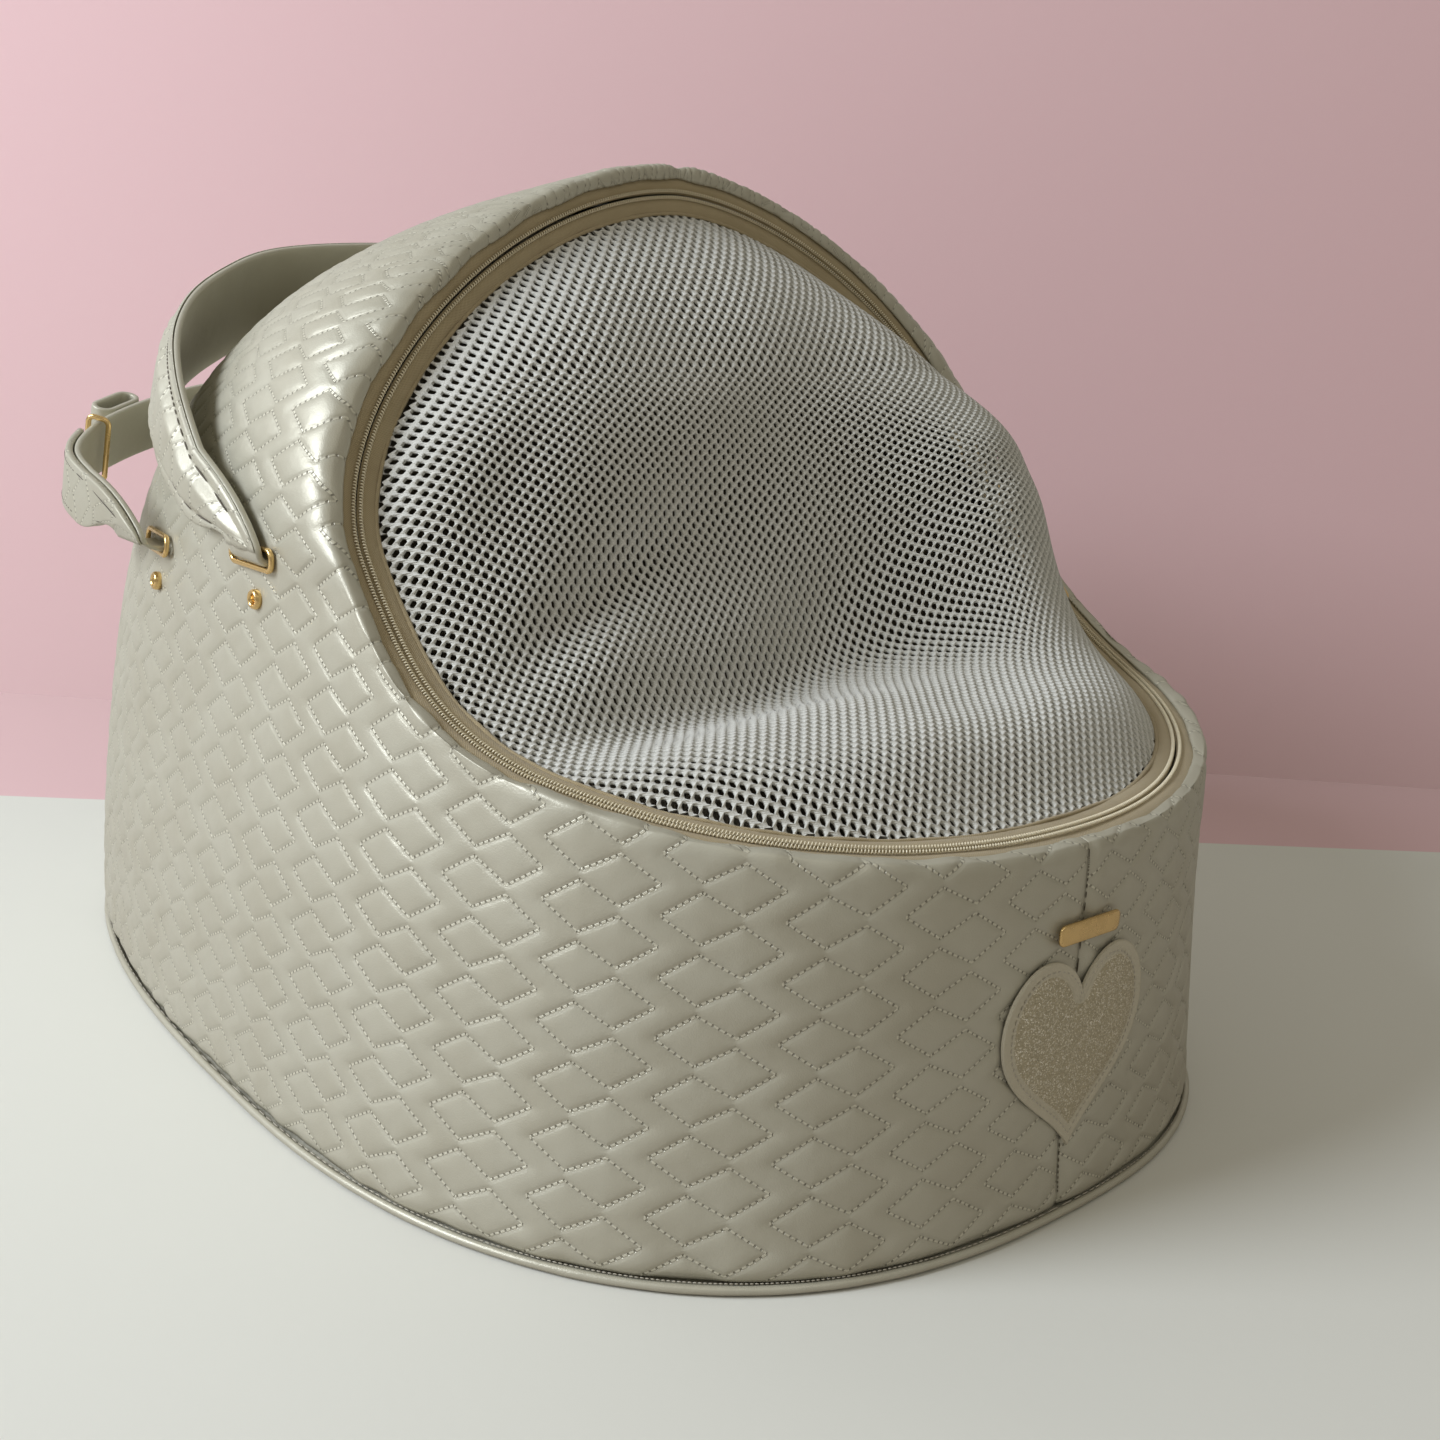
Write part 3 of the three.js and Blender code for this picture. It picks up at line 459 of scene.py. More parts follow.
@dataclass(frozen=True)
class CotForm:
    """The cot's base outline, its scooped opening and the wall between them.

    A turn t runs round the cot from the front, over +X, and back. A height v runs up the
    wall from the base seam at 0 to the zip tape at 1.
    """

    base_length: float = 550 * MM
    base_width: float = 376 * MM
    widest_y: float = -47 * MM
    base_power: float = 2.5
    lip_y: float = -259 * MM
    lip_z: float = 130 * MM
    lip_slope: float = math.radians(12)
    hood_slope: float = math.radians(75)
    scoop: float = 149 * MM
    lip_run: float = 82 * MM
    hood_run: float = 75 * MM
    opening_width: float = 316 * MM
    front_arch: float = 150 * MM
    top_arch: float = 133 * MM
    front_power: float = 2.2
    top_power: float = 1.72
    side_share: float = 0.22
    lower_bulge: RoundAmount = RoundAmount(-6 * MM, -10 * MM, 7 * MM)
    lower_rise: RoundAmount = RoundAmount(0.3, 0.95, 0.58)
    shoulder_reach: RoundAmount = RoundAmount(4 * MM, -3 * MM, 132 * MM)
    shoulder_lift: RoundAmount = RoundAmount(-3 * MM, -3 * MM, -20 * MM)
    roll_height: float = 2.6 * MM
    roll_reach: float = 3.6 * MM
    roll_share: float = 0.05
    edge_height: float = 1.2 * MM
    reveal: float = 7.05 * MM
    foot_z: float = 4.0 * MM
    lip_thinning: float = 0.6
    thinning_start: float = 0.88
    crest_gap: float = 0.3 * MM
    curve_samples: int = 41
    rim_samples: int = 6001
    wall_samples: int = 3001
    measured_heights: tuple[float, ...] = (0.0, 0.5, 0.9)
    find_rounds: int = 40

    @property
    def arc_length(self) -> float:
        """The length of the scoop's arc."""
        return self.scoop * (self.hood_slope - self.lip_slope)

    @property
    def ramp_length(self) -> float:
        """The length of the whole ramp, from the front lip to the hood's crest."""
        return self.lip_run + self.arc_length + self.hood_run

    def ramp(self, s: Array) -> tuple[Array, Array, Array]:
        """The ramp in side view.

        Args:
            s: Distances up the ramp.

        Returns:
            y, z and slope at each.
        """
        lip = np.minimum(s, self.lip_run)
        arc = np.clip(s - self.lip_run, 0, self.arc_length)
        hood = np.maximum(s - self.lip_run - self.arc_length, 0)
        start, end = self.lip_slope, self.hood_slope
        slope = start + arc / self.scoop
        y = self.scoop * (np.sin(slope) - math.sin(start)) + self.lip_y
        z = self.scoop * (math.cos(start) - np.cos(slope)) + self.lip_z
        y = y + lip * math.cos(start) + hood * math.cos(end)
        z = z + lip * math.sin(start) + hood * math.sin(end)
        return y, z, slope

    def on_ramp(self, x: Array, s: Array, height: Array | float = 0.0) -> Array:
        """Points over the ramp: x across, s up it and height off it."""
        y, z, slope = self.ramp(s)
        return np.stack([x, y - np.sin(slope) * height, z + np.cos(slope) * height], axis=-1)

    def oval(self, t: Array) -> tuple[Array, Array]:
        """The opening's oval laid flat, as x across and s up the ramp."""
        c = np.cos(t)
        across = np.sign(np.round(np.sin(t) * 1e9))
        share = (np.abs(c) - self.side_share) / (1 - self.side_share)
        half = self.opening_width / 2
        angle = np.arcsin(np.clip(share, 0, 1))
        power = np.where(c > 0, 2 / self.front_power, 2 / self.top_power)
        x = across * half * np.cos(angle) ** power
        rise = np.sin(angle) ** power
        arched = np.where(
            c > 0, self.front_arch * (1 - rise), self.ramp_length - self.top_arch * (1 - rise)
        )
        run = self.ramp_length - self.front_arch - self.top_arch
        straight = self.front_arch + run * (self.side_share - c) / (2 * self.side_share)
        return x, np.where(share <= 0, straight, arched)

    def rim(self, t: Array) -> tuple[Array, Array, Array]:
        """The zip's line: points, outward directions and ramp normals at turns t."""
        step = 1e-3
        x, s = self.oval(t)
        ahead, behind = self.oval(t + step), self.oval(t - step)
        out = unit(np.stack([ahead[1] - behind[1], -(ahead[0] - behind[0])], axis=-1))
        slope = self.ramp(s)[2]
        zero = np.zeros_like(slope)
        up_ramp = np.stack([zero, np.cos(slope), np.sin(slope)], axis=-1)
        across = np.stack([zero + 1, zero, zero], axis=-1)
        normal = np.stack([zero, -np.sin(slope), np.cos(slope)], axis=-1)
        return self.on_ramp(x, s), across * out[..., :1] + up_ramp * out[..., 1:], normal

    def base(self, t: Array, z: float = 0.0, inset: float = 0.0) -> Array:
        """The base outline at a height, moved inwards by inset."""
        power = 2 / self.base_power
        c, s = signed_power(np.cos(t), power), signed_power(np.sin(t), power)
        front = self.base_length / 2 + self.widest_y
        rear = self.base_length / 2 - self.widest_y
        ends = np.where(c > 0, front, rear) - inset
        return np.stack(
            [(self.base_width / 2 - inset) * s, self.widest_y - ends * c, np.full_like(c, z)], -1
        )

    def base_outward(self, t: Array) -> Array:
        """The level outward direction at the base outline."""
        tangent = self.base(t + 0.02) - self.base(t - 0.02)
        return unit(np.stack([tangent[..., 1], -tangent[..., 0], 0 * t], axis=-1))

    def base_frames(self, turns: Array, z: float, inset: float = 0.0) -> Frames:
        """Stations along the base outline at a height, moved inwards by inset."""
        return Frames(
            self.base(turns, z, inset), self.base_outward(turns), np.tile(UP, (len(turns), 1))
        )

    def _controls(self, t: Array) -> tuple[Array, Array]:
        """The control points of the wall's rise and of its roll at turns t."""
        point, out, normal = self.rim(t)
        outward = self.base_outward(t)
        lean = (0.5 - 0.5 * np.cos(t))[:, None]
        reach = unit(out * (1 - lean) + outward * lean)
        end = point + out * (self.reveal + self.crest_gap) + normal * self.edge_height
        lift = self.roll_height - self.edge_height
        crest = end + out * self.roll_reach + normal * lift
        foot = self.base(t, self.foot_z)
        up = np.array(UP)
        lower = foot + outward * self.lower_bulge.at(t)[:, None]
        lower = lower + up * (self.lower_rise.at(t) * point[:, 2])[:, None]
        shoulder = crest + reach * self.shoulder_reach.at(t)[:, None]
        shoulder = shoulder + up * self.shoulder_lift.at(t)[:, None]
        roll = [crest, crest - reach * self.roll_reach / 2, end + normal * lift * 0.6, end]
        return np.stack([foot, lower, shoulder, crest], 1), np.stack(roll, 1)

    @staticmethod
    def _bezier(controls: Array, share: Array) -> Array:
        """Points on cubic curves; controls and share have one row per point."""
        p = share[:, None]
        q = 1 - p
        a, b, c, d = (controls[:, k] for k in range(4))
        return q**3 * a + 3 * q * q * p * b + 3 * q * p * p * c + p**3 * d

    def wall(self, t: Array, v: Array) -> Array:
        """The wall's outer face, its height shared out by distance.

        Args:
            t: Turns, one per point.
            v: Heights, one per point.

        Returns:
            One point per pair.
        """
        turns, row = np.unique(np.round(t, 9), return_inverse=True)
        rise, roll = self._controls(turns)
        samples = np.linspace(0, 1, self.curve_samples)
        out = np.empty((len(t), 3))
        split = 1 - self.roll_share
        for controls, mask, share in (
            (rise, v <= split, v / split),
            (roll, v > split, (v - split) / self.roll_share),
        ):
            if not mask.any():
                continue
            many = np.repeat(controls, len(samples), axis=0)
            line = self._bezier(many, np.tile(samples, len(turns)))
            line = line.reshape(len(turns), len(samples), 3)
            length = run_length(line, 1)
            length /= length[:, -1:]
            table = np.stack([np.interp(samples, one, samples) for one in length])
            place = np.clip(share[mask], 0, 1) * (len(samples) - 1)
            low = np.minimum(place.astype(int), len(samples) - 2)
            part = place - low
            at = row[mask]
            param = table[at, low] * (1 - part) + table[at, low + 1] * part
            out[mask] = self._bezier(controls[at], param)
        return out

    def wall_normal(self, t: Array, v: Array) -> Array:
        """The wall's outward direction, by small steps along its face."""
        step = 0.01
        low, high = np.maximum(v - step, 0), np.minimum(v + step, 1)
        around = self.wall(t + step, v) - self.wall(t - step, v)
        return unit(np.cross(around, self.wall(t, high) - self.wall(t, low)))

    def inside(self, t: Array, v: Array, depth: float) -> Array:
        """The wall moved inwards, thinner and square to the ramp near the zip."""
        turned = smoothstep(v, self.thinning_start, 1)[:, None]
        direction = self.wall_normal(t, v) * (1 - turned) + self.rim(t)[2] * turned
        return self.wall(t, v) - unit(direction) * depth * (1 - self.lip_thinning * turned)

    def rim_turns(self, count: int) -> Array:
        """Turns that share the zip's line out evenly; the last closes the loop."""
        fine = np.linspace(0, TURN, self.rim_samples)
        turns = even_shares(fine, run_length(self.rim(fine)[0]), count)
        turns[-1] = TURN
        return turns

    def wall_turns(self, start: float, end: float, count: int) -> Array:
        """Turns that share the wall out evenly between two seams."""
        fine = np.linspace(start, end, self.wall_samples)
        steps = sum(
            np.linalg.norm(np.diff(self.wall(fine, np.full_like(fine, v)), axis=0), axis=1)
            for v in self.measured_heights
        )
        return even_shares(fine, np.concatenate([[0], np.cumsum(steps)]), count)

    def find(
        self, target: Callable[[Array], Array], t: Array, v: Array, gain: tuple[float, float]
    ) -> tuple[Array, Array]:
        """Walk over the wall until target, a function of its points, is nought.

        Args:
            target: Gives the two amounts still missing, one row per point.
            t: First guesses of the turns.
            v: First guesses of the heights.
            gain: How far a turn and a height move for a metre that is missing.

        Returns:
            The turns and heights found.
        """
        for _ in range(self.find_rounds):
            missing = target(self.wall(t, v))
            t = t + missing[:, 0] * gain[0]
            v = np.clip(v + missing[:, 1] * gain[1], 0, 1)
        return t, v


FORM = CotForm()


@dataclass(frozen=True)
class QuiltPattern:
    """Sewn lines that wander up the leather in columns and leave a net of diamonds."""

    step: float = 12.7 * MM
    period: float = 18.9 * MM
    heights: tuple[float, ...] = (0.0, 0.42, 0.08, 0.5, 0.92, 0.58, 1.0)
    offsets: tuple[int, ...] = (0, 1, 2, 3, 2, 1, 0)
    puff: float = 0.9 * MM
    reach: float = 5.6 * MM

    @property
    def pitch(self) -> float:
        """The width of a column."""
        return self.step * max(self.offsets)

    def distance(self, chart: Array) -> Array:
        """The distance from charted points to the nearest sewn line."""
        local = np.stack(
            [np.mod(chart[:, 0], self.pitch), np.mod(chart[:, 1], self.period)], axis=1
        )
        corners = np.array([
            (x * self.step, y * self.period) for x, y in zip(self.offsets, self.heights)
        ])
        best = np.full(len(chart), np.inf)
        for column in (-1, 0, 1):
            for row in (-1, 0, 1):
                shift = np.array([column * self.pitch, row * self.period])
                best = np.minimum(best, polyline_distance(local, corners + shift))
        return best

    def relief(self, chart: Array) -> Array:
        """How far the filling pushes the leather out, from 0 on a line."""
        share = np.clip(self.distance(chart) / self.reach, 0, 1)
        return self.puff * np.sqrt(share * (2 - share))


QUILT = QuiltPattern()


# ---------------------------------------------------------------------------
# Finishes
# ---------------------------------------------------------------------------


@dataclass
class Craft:
    """Builds one material's nodes."""

    name: str
    material: bpy.types.Material = field(init=False)
    shader: bpy.types.ShaderNode = field(init=False)

    def __post_init__(self) -> None:
        """Start the material and find its shader."""
        self.material = bpy.data.materials.new(self.name)
        self.material.use_nodes = True
        self.shader = self.material.node_tree.nodes["Principled BSDF"]

    def set(self, **values: Any) -> None:
        """Set or link sockets of the shader; an underscore stands for a space."""
        for key, value in values.items():
            self.feed(self.shader.inputs[key.replace("_", " ")], value)

    def feed(self, socket: Socket, value: Any) -> None:
        """Link a socket to a value that is one, or set its default."""
        if isinstance(value, bpy.types.NodeSocket):
            self.material.node_tree.links.new(value, socket)
        elif hasattr(socket.default_value, "__len__") and len(socket.default_value) == 4:
            socket.default_value = (*value[:3], 1.0)
        else:
            socket.default_value = value

    def node(self, kind: str, props: dict[str, Any] | None = None, **inputs: Any) -> Any:
        """Add a node.

        Args:
            kind: Its type, without the ShaderNode prefix.
            props: Its own settings.
            inputs: Its sockets' values or links, by name.

        Returns:
            The node.
        """
        node = self.material.node_tree.nodes.new("ShaderNode" + kind)
        for key, value in (props or {}).items():
            setattr(node, key, value)
        for key, value in inputs.items():
            self.feed(node.inputs[key.replace("_", " ")], value)
        return node

    def wired(self, kind: str, props: dict[str, Any], inputs: dict[int, Any]) -> Any:
        """Add a node whose inputs are given by their index."""
        node = self.node(kind, props)
        for index, value in inputs.items():
            self.feed(node.inputs[index], value)
        return node

    def math(self, operation: str, *values: Any) -> Socket:
        """The result of a Math node."""
        return self.wired("Math", {"operation": operation}, dict(enumerate(values))).outputs[0]

    def vector(self, operation: str, *values: Any) -> Any:
        """A Vector Math node."""
        return self.wired("VectorMath", {"operation": operation}, dict(enumerate(values)))

    def scaled(self, source: Any, scale: Any) -> Socket:
        """Coordinates times a number."""
        return self.wired("VectorMath", {"operation": "SCALE"}, {0: source, 3: scale}).outputs[0]

    def object_place(self) -> Socket:
        """Object coordinates in millimetres."""
        return self.scaled(self.node("TexCoord").outputs["Object"], 1 / MM)

    def chart(self) -> Socket:
        """The piece's own chart, in millimetres."""
        return self.scaled(self.node("UVMap").outputs[0], 1 / MM)

    def noise(self, place: Socket, size: float, detail: float = 3.0, rough: float = 0.5) -> Socket:
        """Noise whose features are size millimetres across."""
        return self.node(
            "TexNoise", Vector=place, Scale=1 / size, Detail=detail, Roughness=rough
        ).outputs["Fac"]

    def cells(self, place: Socket, size: float, feature: str = "F1") -> Any:
        """Cells that are size millimetres across."""
        return self.node("TexVoronoi", {"feature": feature}, Vector=place, Scale=1 / size)

    def span(self, value: Socket, *limits: float) -> Socket:
        """A value brought from the first two limits to the others, or to 0 and 1."""
        ends = limits if len(limits) == 4 else (*limits, 0.0, 1.0)
        return self.wired(
            "MapRange", {"clamp": True}, dict(enumerate((value, *ends)))
        ).outputs[0]

    def blend(self, share: Any, first: Any, second: Any) -> Socket:
        """A mix of two colours."""
        return self.wired(
            "Mix", {"data_type": "RGBA"}, {0: share, 6: first, 7: second}
        ).outputs[2]

    def pick(self, share: Socket, first: Socket, second: Socket) -> Socket:
        """A mix of two amounts."""
        return self.wired(
            "Mix", {"data_type": "FLOAT"}, {0: share, 2: first, 3: second}
        ).outputs[0]

    def bump(self, height: Socket, depth: float, after: Socket | None = None) -> Socket:
        """A normal bumped by a height of depth millimetres."""
        node = self.node("Bump", Height=height, Strength=1.0, Distance=depth * MM)
        if after is not None:
            self.feed(node.inputs["Normal"], after)
        return node.outputs[0]


def srgb(red: int, green: int, blue: int) -> Colour:
    """A display colour of 0 to 255 as linear amounts."""
    return tuple(
        c / 255 / 12.92 if c <= 10 else ((c / 255 + 0.055) / 1.055) ** 2.4
        for c in (red, green, blue)
    )


def toned(colour: Colour, share: float) -> Colour:
    """A colour made darker or lighter."""
    return tuple(min(share * c, 1.0) for c in colour)


@dataclass(frozen=True)
class Finish:
    """A material that paints its own nodes."""

    name: str

    def paint(self, craft: Craft, place: Socket) -> None:
        """Set the shader from object coordinates in millimetres."""
        raise NotImplementedError

    def make(self) -> bpy.types.Material:
        """The material."""
        craft = Craft(self.name)
        self.paint(craft, craft.object_place())
        return craft.material


@dataclass(frozen=True)
class LeatherFinish(Finish):
    """Pearl faux leather: fine grain, soft gloss and, where quilted, sewn lines."""

    light: Colour
    dark: Colour
    gloss: float = 0.42
    pearl: float = 0.3
    quilted: bool = False
    stitch: float = 2.3
    needle: float = 0.36
    grain: float = 0.9
    groove: tuple[float, float] = (1.5, 0.16)
    # the colour of the painted shade inside the needle holes
    hole_tone: Colour = srgb(96, 88, 70)

    @staticmethod
    def segment(craft: Craft, place: Socket, start: Vector, end: Vector) -> tuple[Socket, Socket]:
        """The distance to a segment, and the distance along it."""
        run = end - start
        local = craft.vector("SUBTRACT", place, start).outputs[0]
        along = craft.vector("DOT_PRODUCT", local, run / run.length_squared).outputs["Value"]
        share = craft.span(along, 0, 1)
        gap = craft.vector("DISTANCE", local, craft.scaled(run, share)).outputs["Value"]
        return gap, craft.math("MULTIPLY", share, run.length)

    def sewn(self, craft: Craft) -> tuple[Socket, Socket]:
        """The distance to the nearest sewn line in millimetres, and along it."""
        parts = craft.node("SeparateXYZ", Vector=craft.chart())
        period = QUILT.period / MM
        across = craft.math("FLOORED_MODULO", parts.outputs[0], QUILT.pitch / MM)
        upwards = craft.math("PINGPONG", parts.outputs[1], period / 2)
        place = craft.node("CombineXYZ", X=across, Y=upwards).outputs[0]
        points = [
            Vector((x * QUILT.step / MM, y * period, 0))
            for x, y in zip(QUILT.offsets[:4], QUILT.heights[:4])
        ]
        (gap, along), *others = (
            self.segment(craft, place, *ends) for ends in zip(points, points[1:])
        )
        for other, far in others:
            nearer = craft.math("LESS_THAN", other, gap)
            gap = craft.math("MINIMUM", other, gap)
            along = craft.pick(nearer, along, far)
        return gap, along

    def stitched(self, craft: Craft, tone: Socket, normal: Socket) -> tuple[Socket, Socket]:
        """The tone and the normal with sewn grooves, threads and needle holes in them; the grooves
        and needle holes are darkened with painted shade.
        """
        gap, along = self.sewn(craft)
        width, depth = self.groove
        normal = craft.bump(craft.span(gap, 0.0, width), depth, normal)
        beat = craft.math("FLOORED_MODULO", along, self.stitch)
        off_hole = craft.math("ABSOLUTE", craft.math("SUBTRACT", beat, self.stitch / 2))
        hole = craft.span(off_hole, self.needle * 0.55, self.needle, 1.0, 0.0)
        pierced = craft.math("MULTIPLY", hole, craft.span(gap, 0.3, 0.55, 1.0, 0.0))
        on_line = craft.span(gap, 0.22, 0.42, 1.0, 0.0)
        thread = craft.math("SUBTRACT", on_line, craft.math("MULTIPLY", on_line, pierced))
        normal = craft.bump(pierced, -0.16, craft.bump(thread, 0.14, normal))
        # painted shade: the tone darkens towards each sewn line, in its groove
        tone = craft.blend(craft.span(gap, 0.3, 1.6, 0.92, 1.0), toned(self.dark, 0.5), tone)
        tone = craft.blend(thread, tone, toned(self.light, 1.3))
        # painted shade in the needle holes, mixed in at up to 45 percent
        tone = craft.blend(craft.math("MULTIPLY", pierced, 0.45), tone, self.hole_tone)
        return tone, normal

    def paint(self, craft: Craft, place: Socket) -> None:
        """Paint grain, soft unevenness and, on quilted leather, the sewing."""
        cracks = craft.cells(place, self.grain, "DISTANCE_TO_EDGE").outputs[0]
        patches = craft.span(craft.noise(place, 26.0, 4.0), 0.35, 0.65)
        tone = craft.blend(patches, self.dark, self.light)
        worn = craft.math("MULTIPLY_ADD", craft.noise(place, 3.0), 0.12, self.gloss - 0.05)
        normal = craft.bump(craft.noise(place, 7.0), 0.22)
        normal = craft.bump(craft.span(cracks, 0.0, 0.16), 0.022, normal)
        if self.quilted:
            tone, normal = self.stitched(craft, tone, normal)
        craft.set(Base_Color=tone, Roughness=worn, Normal=normal, Metallic=self.pearl,
                  Coat_Weight=0.16, Coat_Roughness=0.5, Specular_IOR_Level=0.5)


@dataclass(frozen=True)
class WeaveFinish(Finish):
    """Woven cloth, from coarse lining to close zip tape."""

    warp: Colour
    weft: Colour
    thread: float
    depth: float = 0.12
    diagonal: bool = False
    charted: bool = False
    rough: float = 0.88
    sheen: float = 0.2
    bands: float = 0.31

    def paint(self, craft: Craft, place: Socket) -> None:
        """Paint crossed threads, uneven tone and fuzz."""
        turned = craft.node("Mapping", Vector=craft.chart() if self.charted else place)
        turned.inputs["Rotation"].default_value = (0, 0, math.radians(45 * self.diagonal))
        crossed = craft.math("MAXIMUM", *(
            craft.node(
                "TexWave", {"bands_direction": axis, "wave_profile": "SIN"},
                Vector=turned.outputs[0], Scale=self.bands / self.thread, Distortion=0.4,
            ).outputs["Fac"]
            for axis in ("X", "Y")
        ))
        uneven = craft.span(craft.noise(place, 9.0, 4.0), 0.3, 0.7, 0.0, 0.3)
        tone = craft.blend(uneven, craft.blend(crossed, self.weft, self.warp), self.weft)
        normal = craft.bump(craft.noise(place, 0.35), 0.05, craft.bump(crossed, self.depth))
        craft.set(Base_Color=tone, Roughness=self.rough, Normal=normal,
                  Sheen_Weight=self.sheen, Sheen_Roughness=0.5)


@dataclass(frozen=True)
class KnitFinish(Finish):
    """Spacer mesh: soft white yarn with fine loops."""

    bright: Colour
    shaded: Colour

    def paint(self, craft: Craft, place: Socket) -> None:
        """Paint looped yarn, its tone mixed from a lit and a shaded colour by fine noise and broad
        patches: painted light and shade.
        """
        loops = craft.node(
            "TexWave", {"bands_direction": "DIAGONAL"}, Vector=place, Scale=0.6, Distortion=3.0,
            Detail=2.0,
        ).outputs["Fac"]
        fuzz = craft.noise(place, 0.5, 4.0)
        # painted light and shade: fine noise mixes the yarn between its lit and shaded colours, and
        # broad patches pull it towards the shaded one
        patches = craft.span(craft.noise(place, 40.0, 2.0), 0.35, 0.7, 0.0, 0.25)
        tone = craft.blend(craft.span(fuzz, 0.3, 0.7), self.shaded, self.bright)
        craft.set(
            Base_Color=craft.blend(patches, tone, self.shaded), Roughness=0.82,
            Normal=craft.bump(fuzz, 0.12, craft.bump(loops, 0.1)),
            Sheen_Weight=0.25, Sheen_Roughness=0.45,
        )


@dataclass(frozen=True)
class MetalFinish(Finish):
    """Plated or plain metal with faint wear."""

    colour: Colour
    gloss: float

    def paint(self, craft: Craft, place: Socket) -> None:
        """Paint smears and faint scratches."""
        smear = craft.noise(place, 6.0)
        dulled = craft.span(smear, 0.35, 0.75, 0.0, 0.25)
        craft.set(
            Base_Color=craft.blend(dulled, self.colour, toned(self.colour, 0.7)), Metallic=1.0,
            Roughness=craft.span(smear, 0.3, 0.7, self.gloss, self.gloss + 0.12),
            Normal=craft.bump(craft.noise(place, 0.7, 5.0, 0.7), 0.012),
        )


@dataclass(frozen=True)
class GlitterFinish(Finish):
    """Fabric thick with glitter, inside a flat, paler sewn border."""

    base: Colour
    spark: Colour
    border: Colour
    border_width: float = 4.6
    border_blur: float = 0.15
    flake: float = 0.4

    def paint(self, craft: Craft, place: Socket) -> None:
        """Paint flakes in the middle and plain weave on the border."""
        flakes = craft.cells(place, self.flake)
        tint = craft.node("SeparateColor", Color=flakes.outputs["Color"])
        lit = craft.span(tint.outputs[0], 0.66, 0.98)
        grit = craft.span(craft.noise(place, 0.6, 4.0, 0.8), 0.35, 0.65)
        middle = craft.blend(lit, craft.blend(grit, toned(self.base, 0.68), self.base), self.spark)
        edge = craft.node("Attribute", {"attribute_name": "edge_gap"}).outputs["Fac"]
        inner = craft.span(craft.math("MULTIPLY", edge, 1 / MM),
                           self.border_width - self.border_blur,
                           self.border_width + self.border_blur)
        weave = craft.noise(place, 0.5)
        hem = craft.blend(weave, toned(self.border, 0.88), self.border)
        shining = craft.math("MULTIPLY", lit, inner)
        craft.set(
            Base_Color=craft.blend(inner, hem, middle),
            Roughness=craft.span(shining, 0, 1, 0.6, 0.25),
            Metallic=craft.math("MULTIPLY", shining, 0.7),
            Normal=craft.bump(weave, 0.05, craft.bump(tint.outputs[1], 0.35)),
        )


@dataclass(frozen=True)
class MouldedFinish(Finish):
    """Foam or board: one tone with pores or a fine texture, whose sunken pits are darkened with
    painted shade.
    """

    colour: Colour
    pore: float
    rough: float

    def paint(self, craft: Craft, place: Socket) -> None:
        """Paint the pores as pits, with painted shade darkening their middles."""
        pores = craft.cells(place, self.pore).outputs["Distance"]
        # painted shade: the colour darkens to 80 percent towards each pore's sunken middle
        craft.set(Base_Color=craft.blend(pores, toned(self.colour, 0.8), self.colour),
                  Roughness=self.rough, Normal=craft.bump(pores, 0.15))


LIGHT_PEARL, DARK_PEARL = srgb(190, 187, 169), srgb(184, 180, 161)

SLOT_FINISHES: dict[Slot, Finish] = {
    Slot.PEARL: LeatherFinish("pearl_quilted_leather", LIGHT_PEARL, DARK_PEARL, quilted=True),
    Slot.PLAIN: LeatherFinish("pearl_plain_leather", LIGHT_PEARL, DARK_PEARL, gloss=0.4),
    Slot.LINING: WeaveFinish("lining_weave", srgb(150, 141, 124), srgb(120, 112, 96), 0.9),
    Slot.CUSHION: WeaveFinish("cushion_weave", srgb(205, 198, 184), srgb(176, 168, 152), 1.3,
                              depth=0.3, diagonal=True),
    Slot.TAPE: WeaveFinish("zip_tape_weave", srgb(184, 168, 132), srgb(152, 136, 102), 0.55,
                           depth=0.14, diagonal=True, charted=True),
    Slot.COIL: MouldedFinish("zip_coil_nylon", srgb(242, 231, 200), 0.5, 0.36),
    Slot.MESH: KnitFinish("air_mesh_yarn", srgb(226, 226, 219), srgb(194, 193, 183)),
    Slot.GOLD: MetalFinish("gold_plating", srgb(233, 200, 138), 0.2),
    Slot.STEEL: MetalFinish("hoop_steel", srgb(150, 152, 156), 0.35),
    Slot.GLITTER: GlitterFinish("glitter_cloth", srgb(192, 181, 150), srgb(246, 240, 220),
                                srgb(208, 201, 178)),
    Slot.FOAM: MouldedFinish("foam_pores", srgb(226, 222, 212), 1.4, 0.95),
    Slot.BOARD: MouldedFinish("board_texture", srgb(92, 88, 82), 1.0, 0.6),
}
PALE_THREAD = WeaveFinish("sewing_thread", srgb(196, 190, 174), srgb(160, 152, 134), 0.3,
                          depth=0.05, rough=0.6)
DARK_THREAD = WeaveFinish("shaded_thread", srgb(92, 82, 66), srgb(70, 62, 48), 0.3,
                          depth=0.05, rough=0.7)


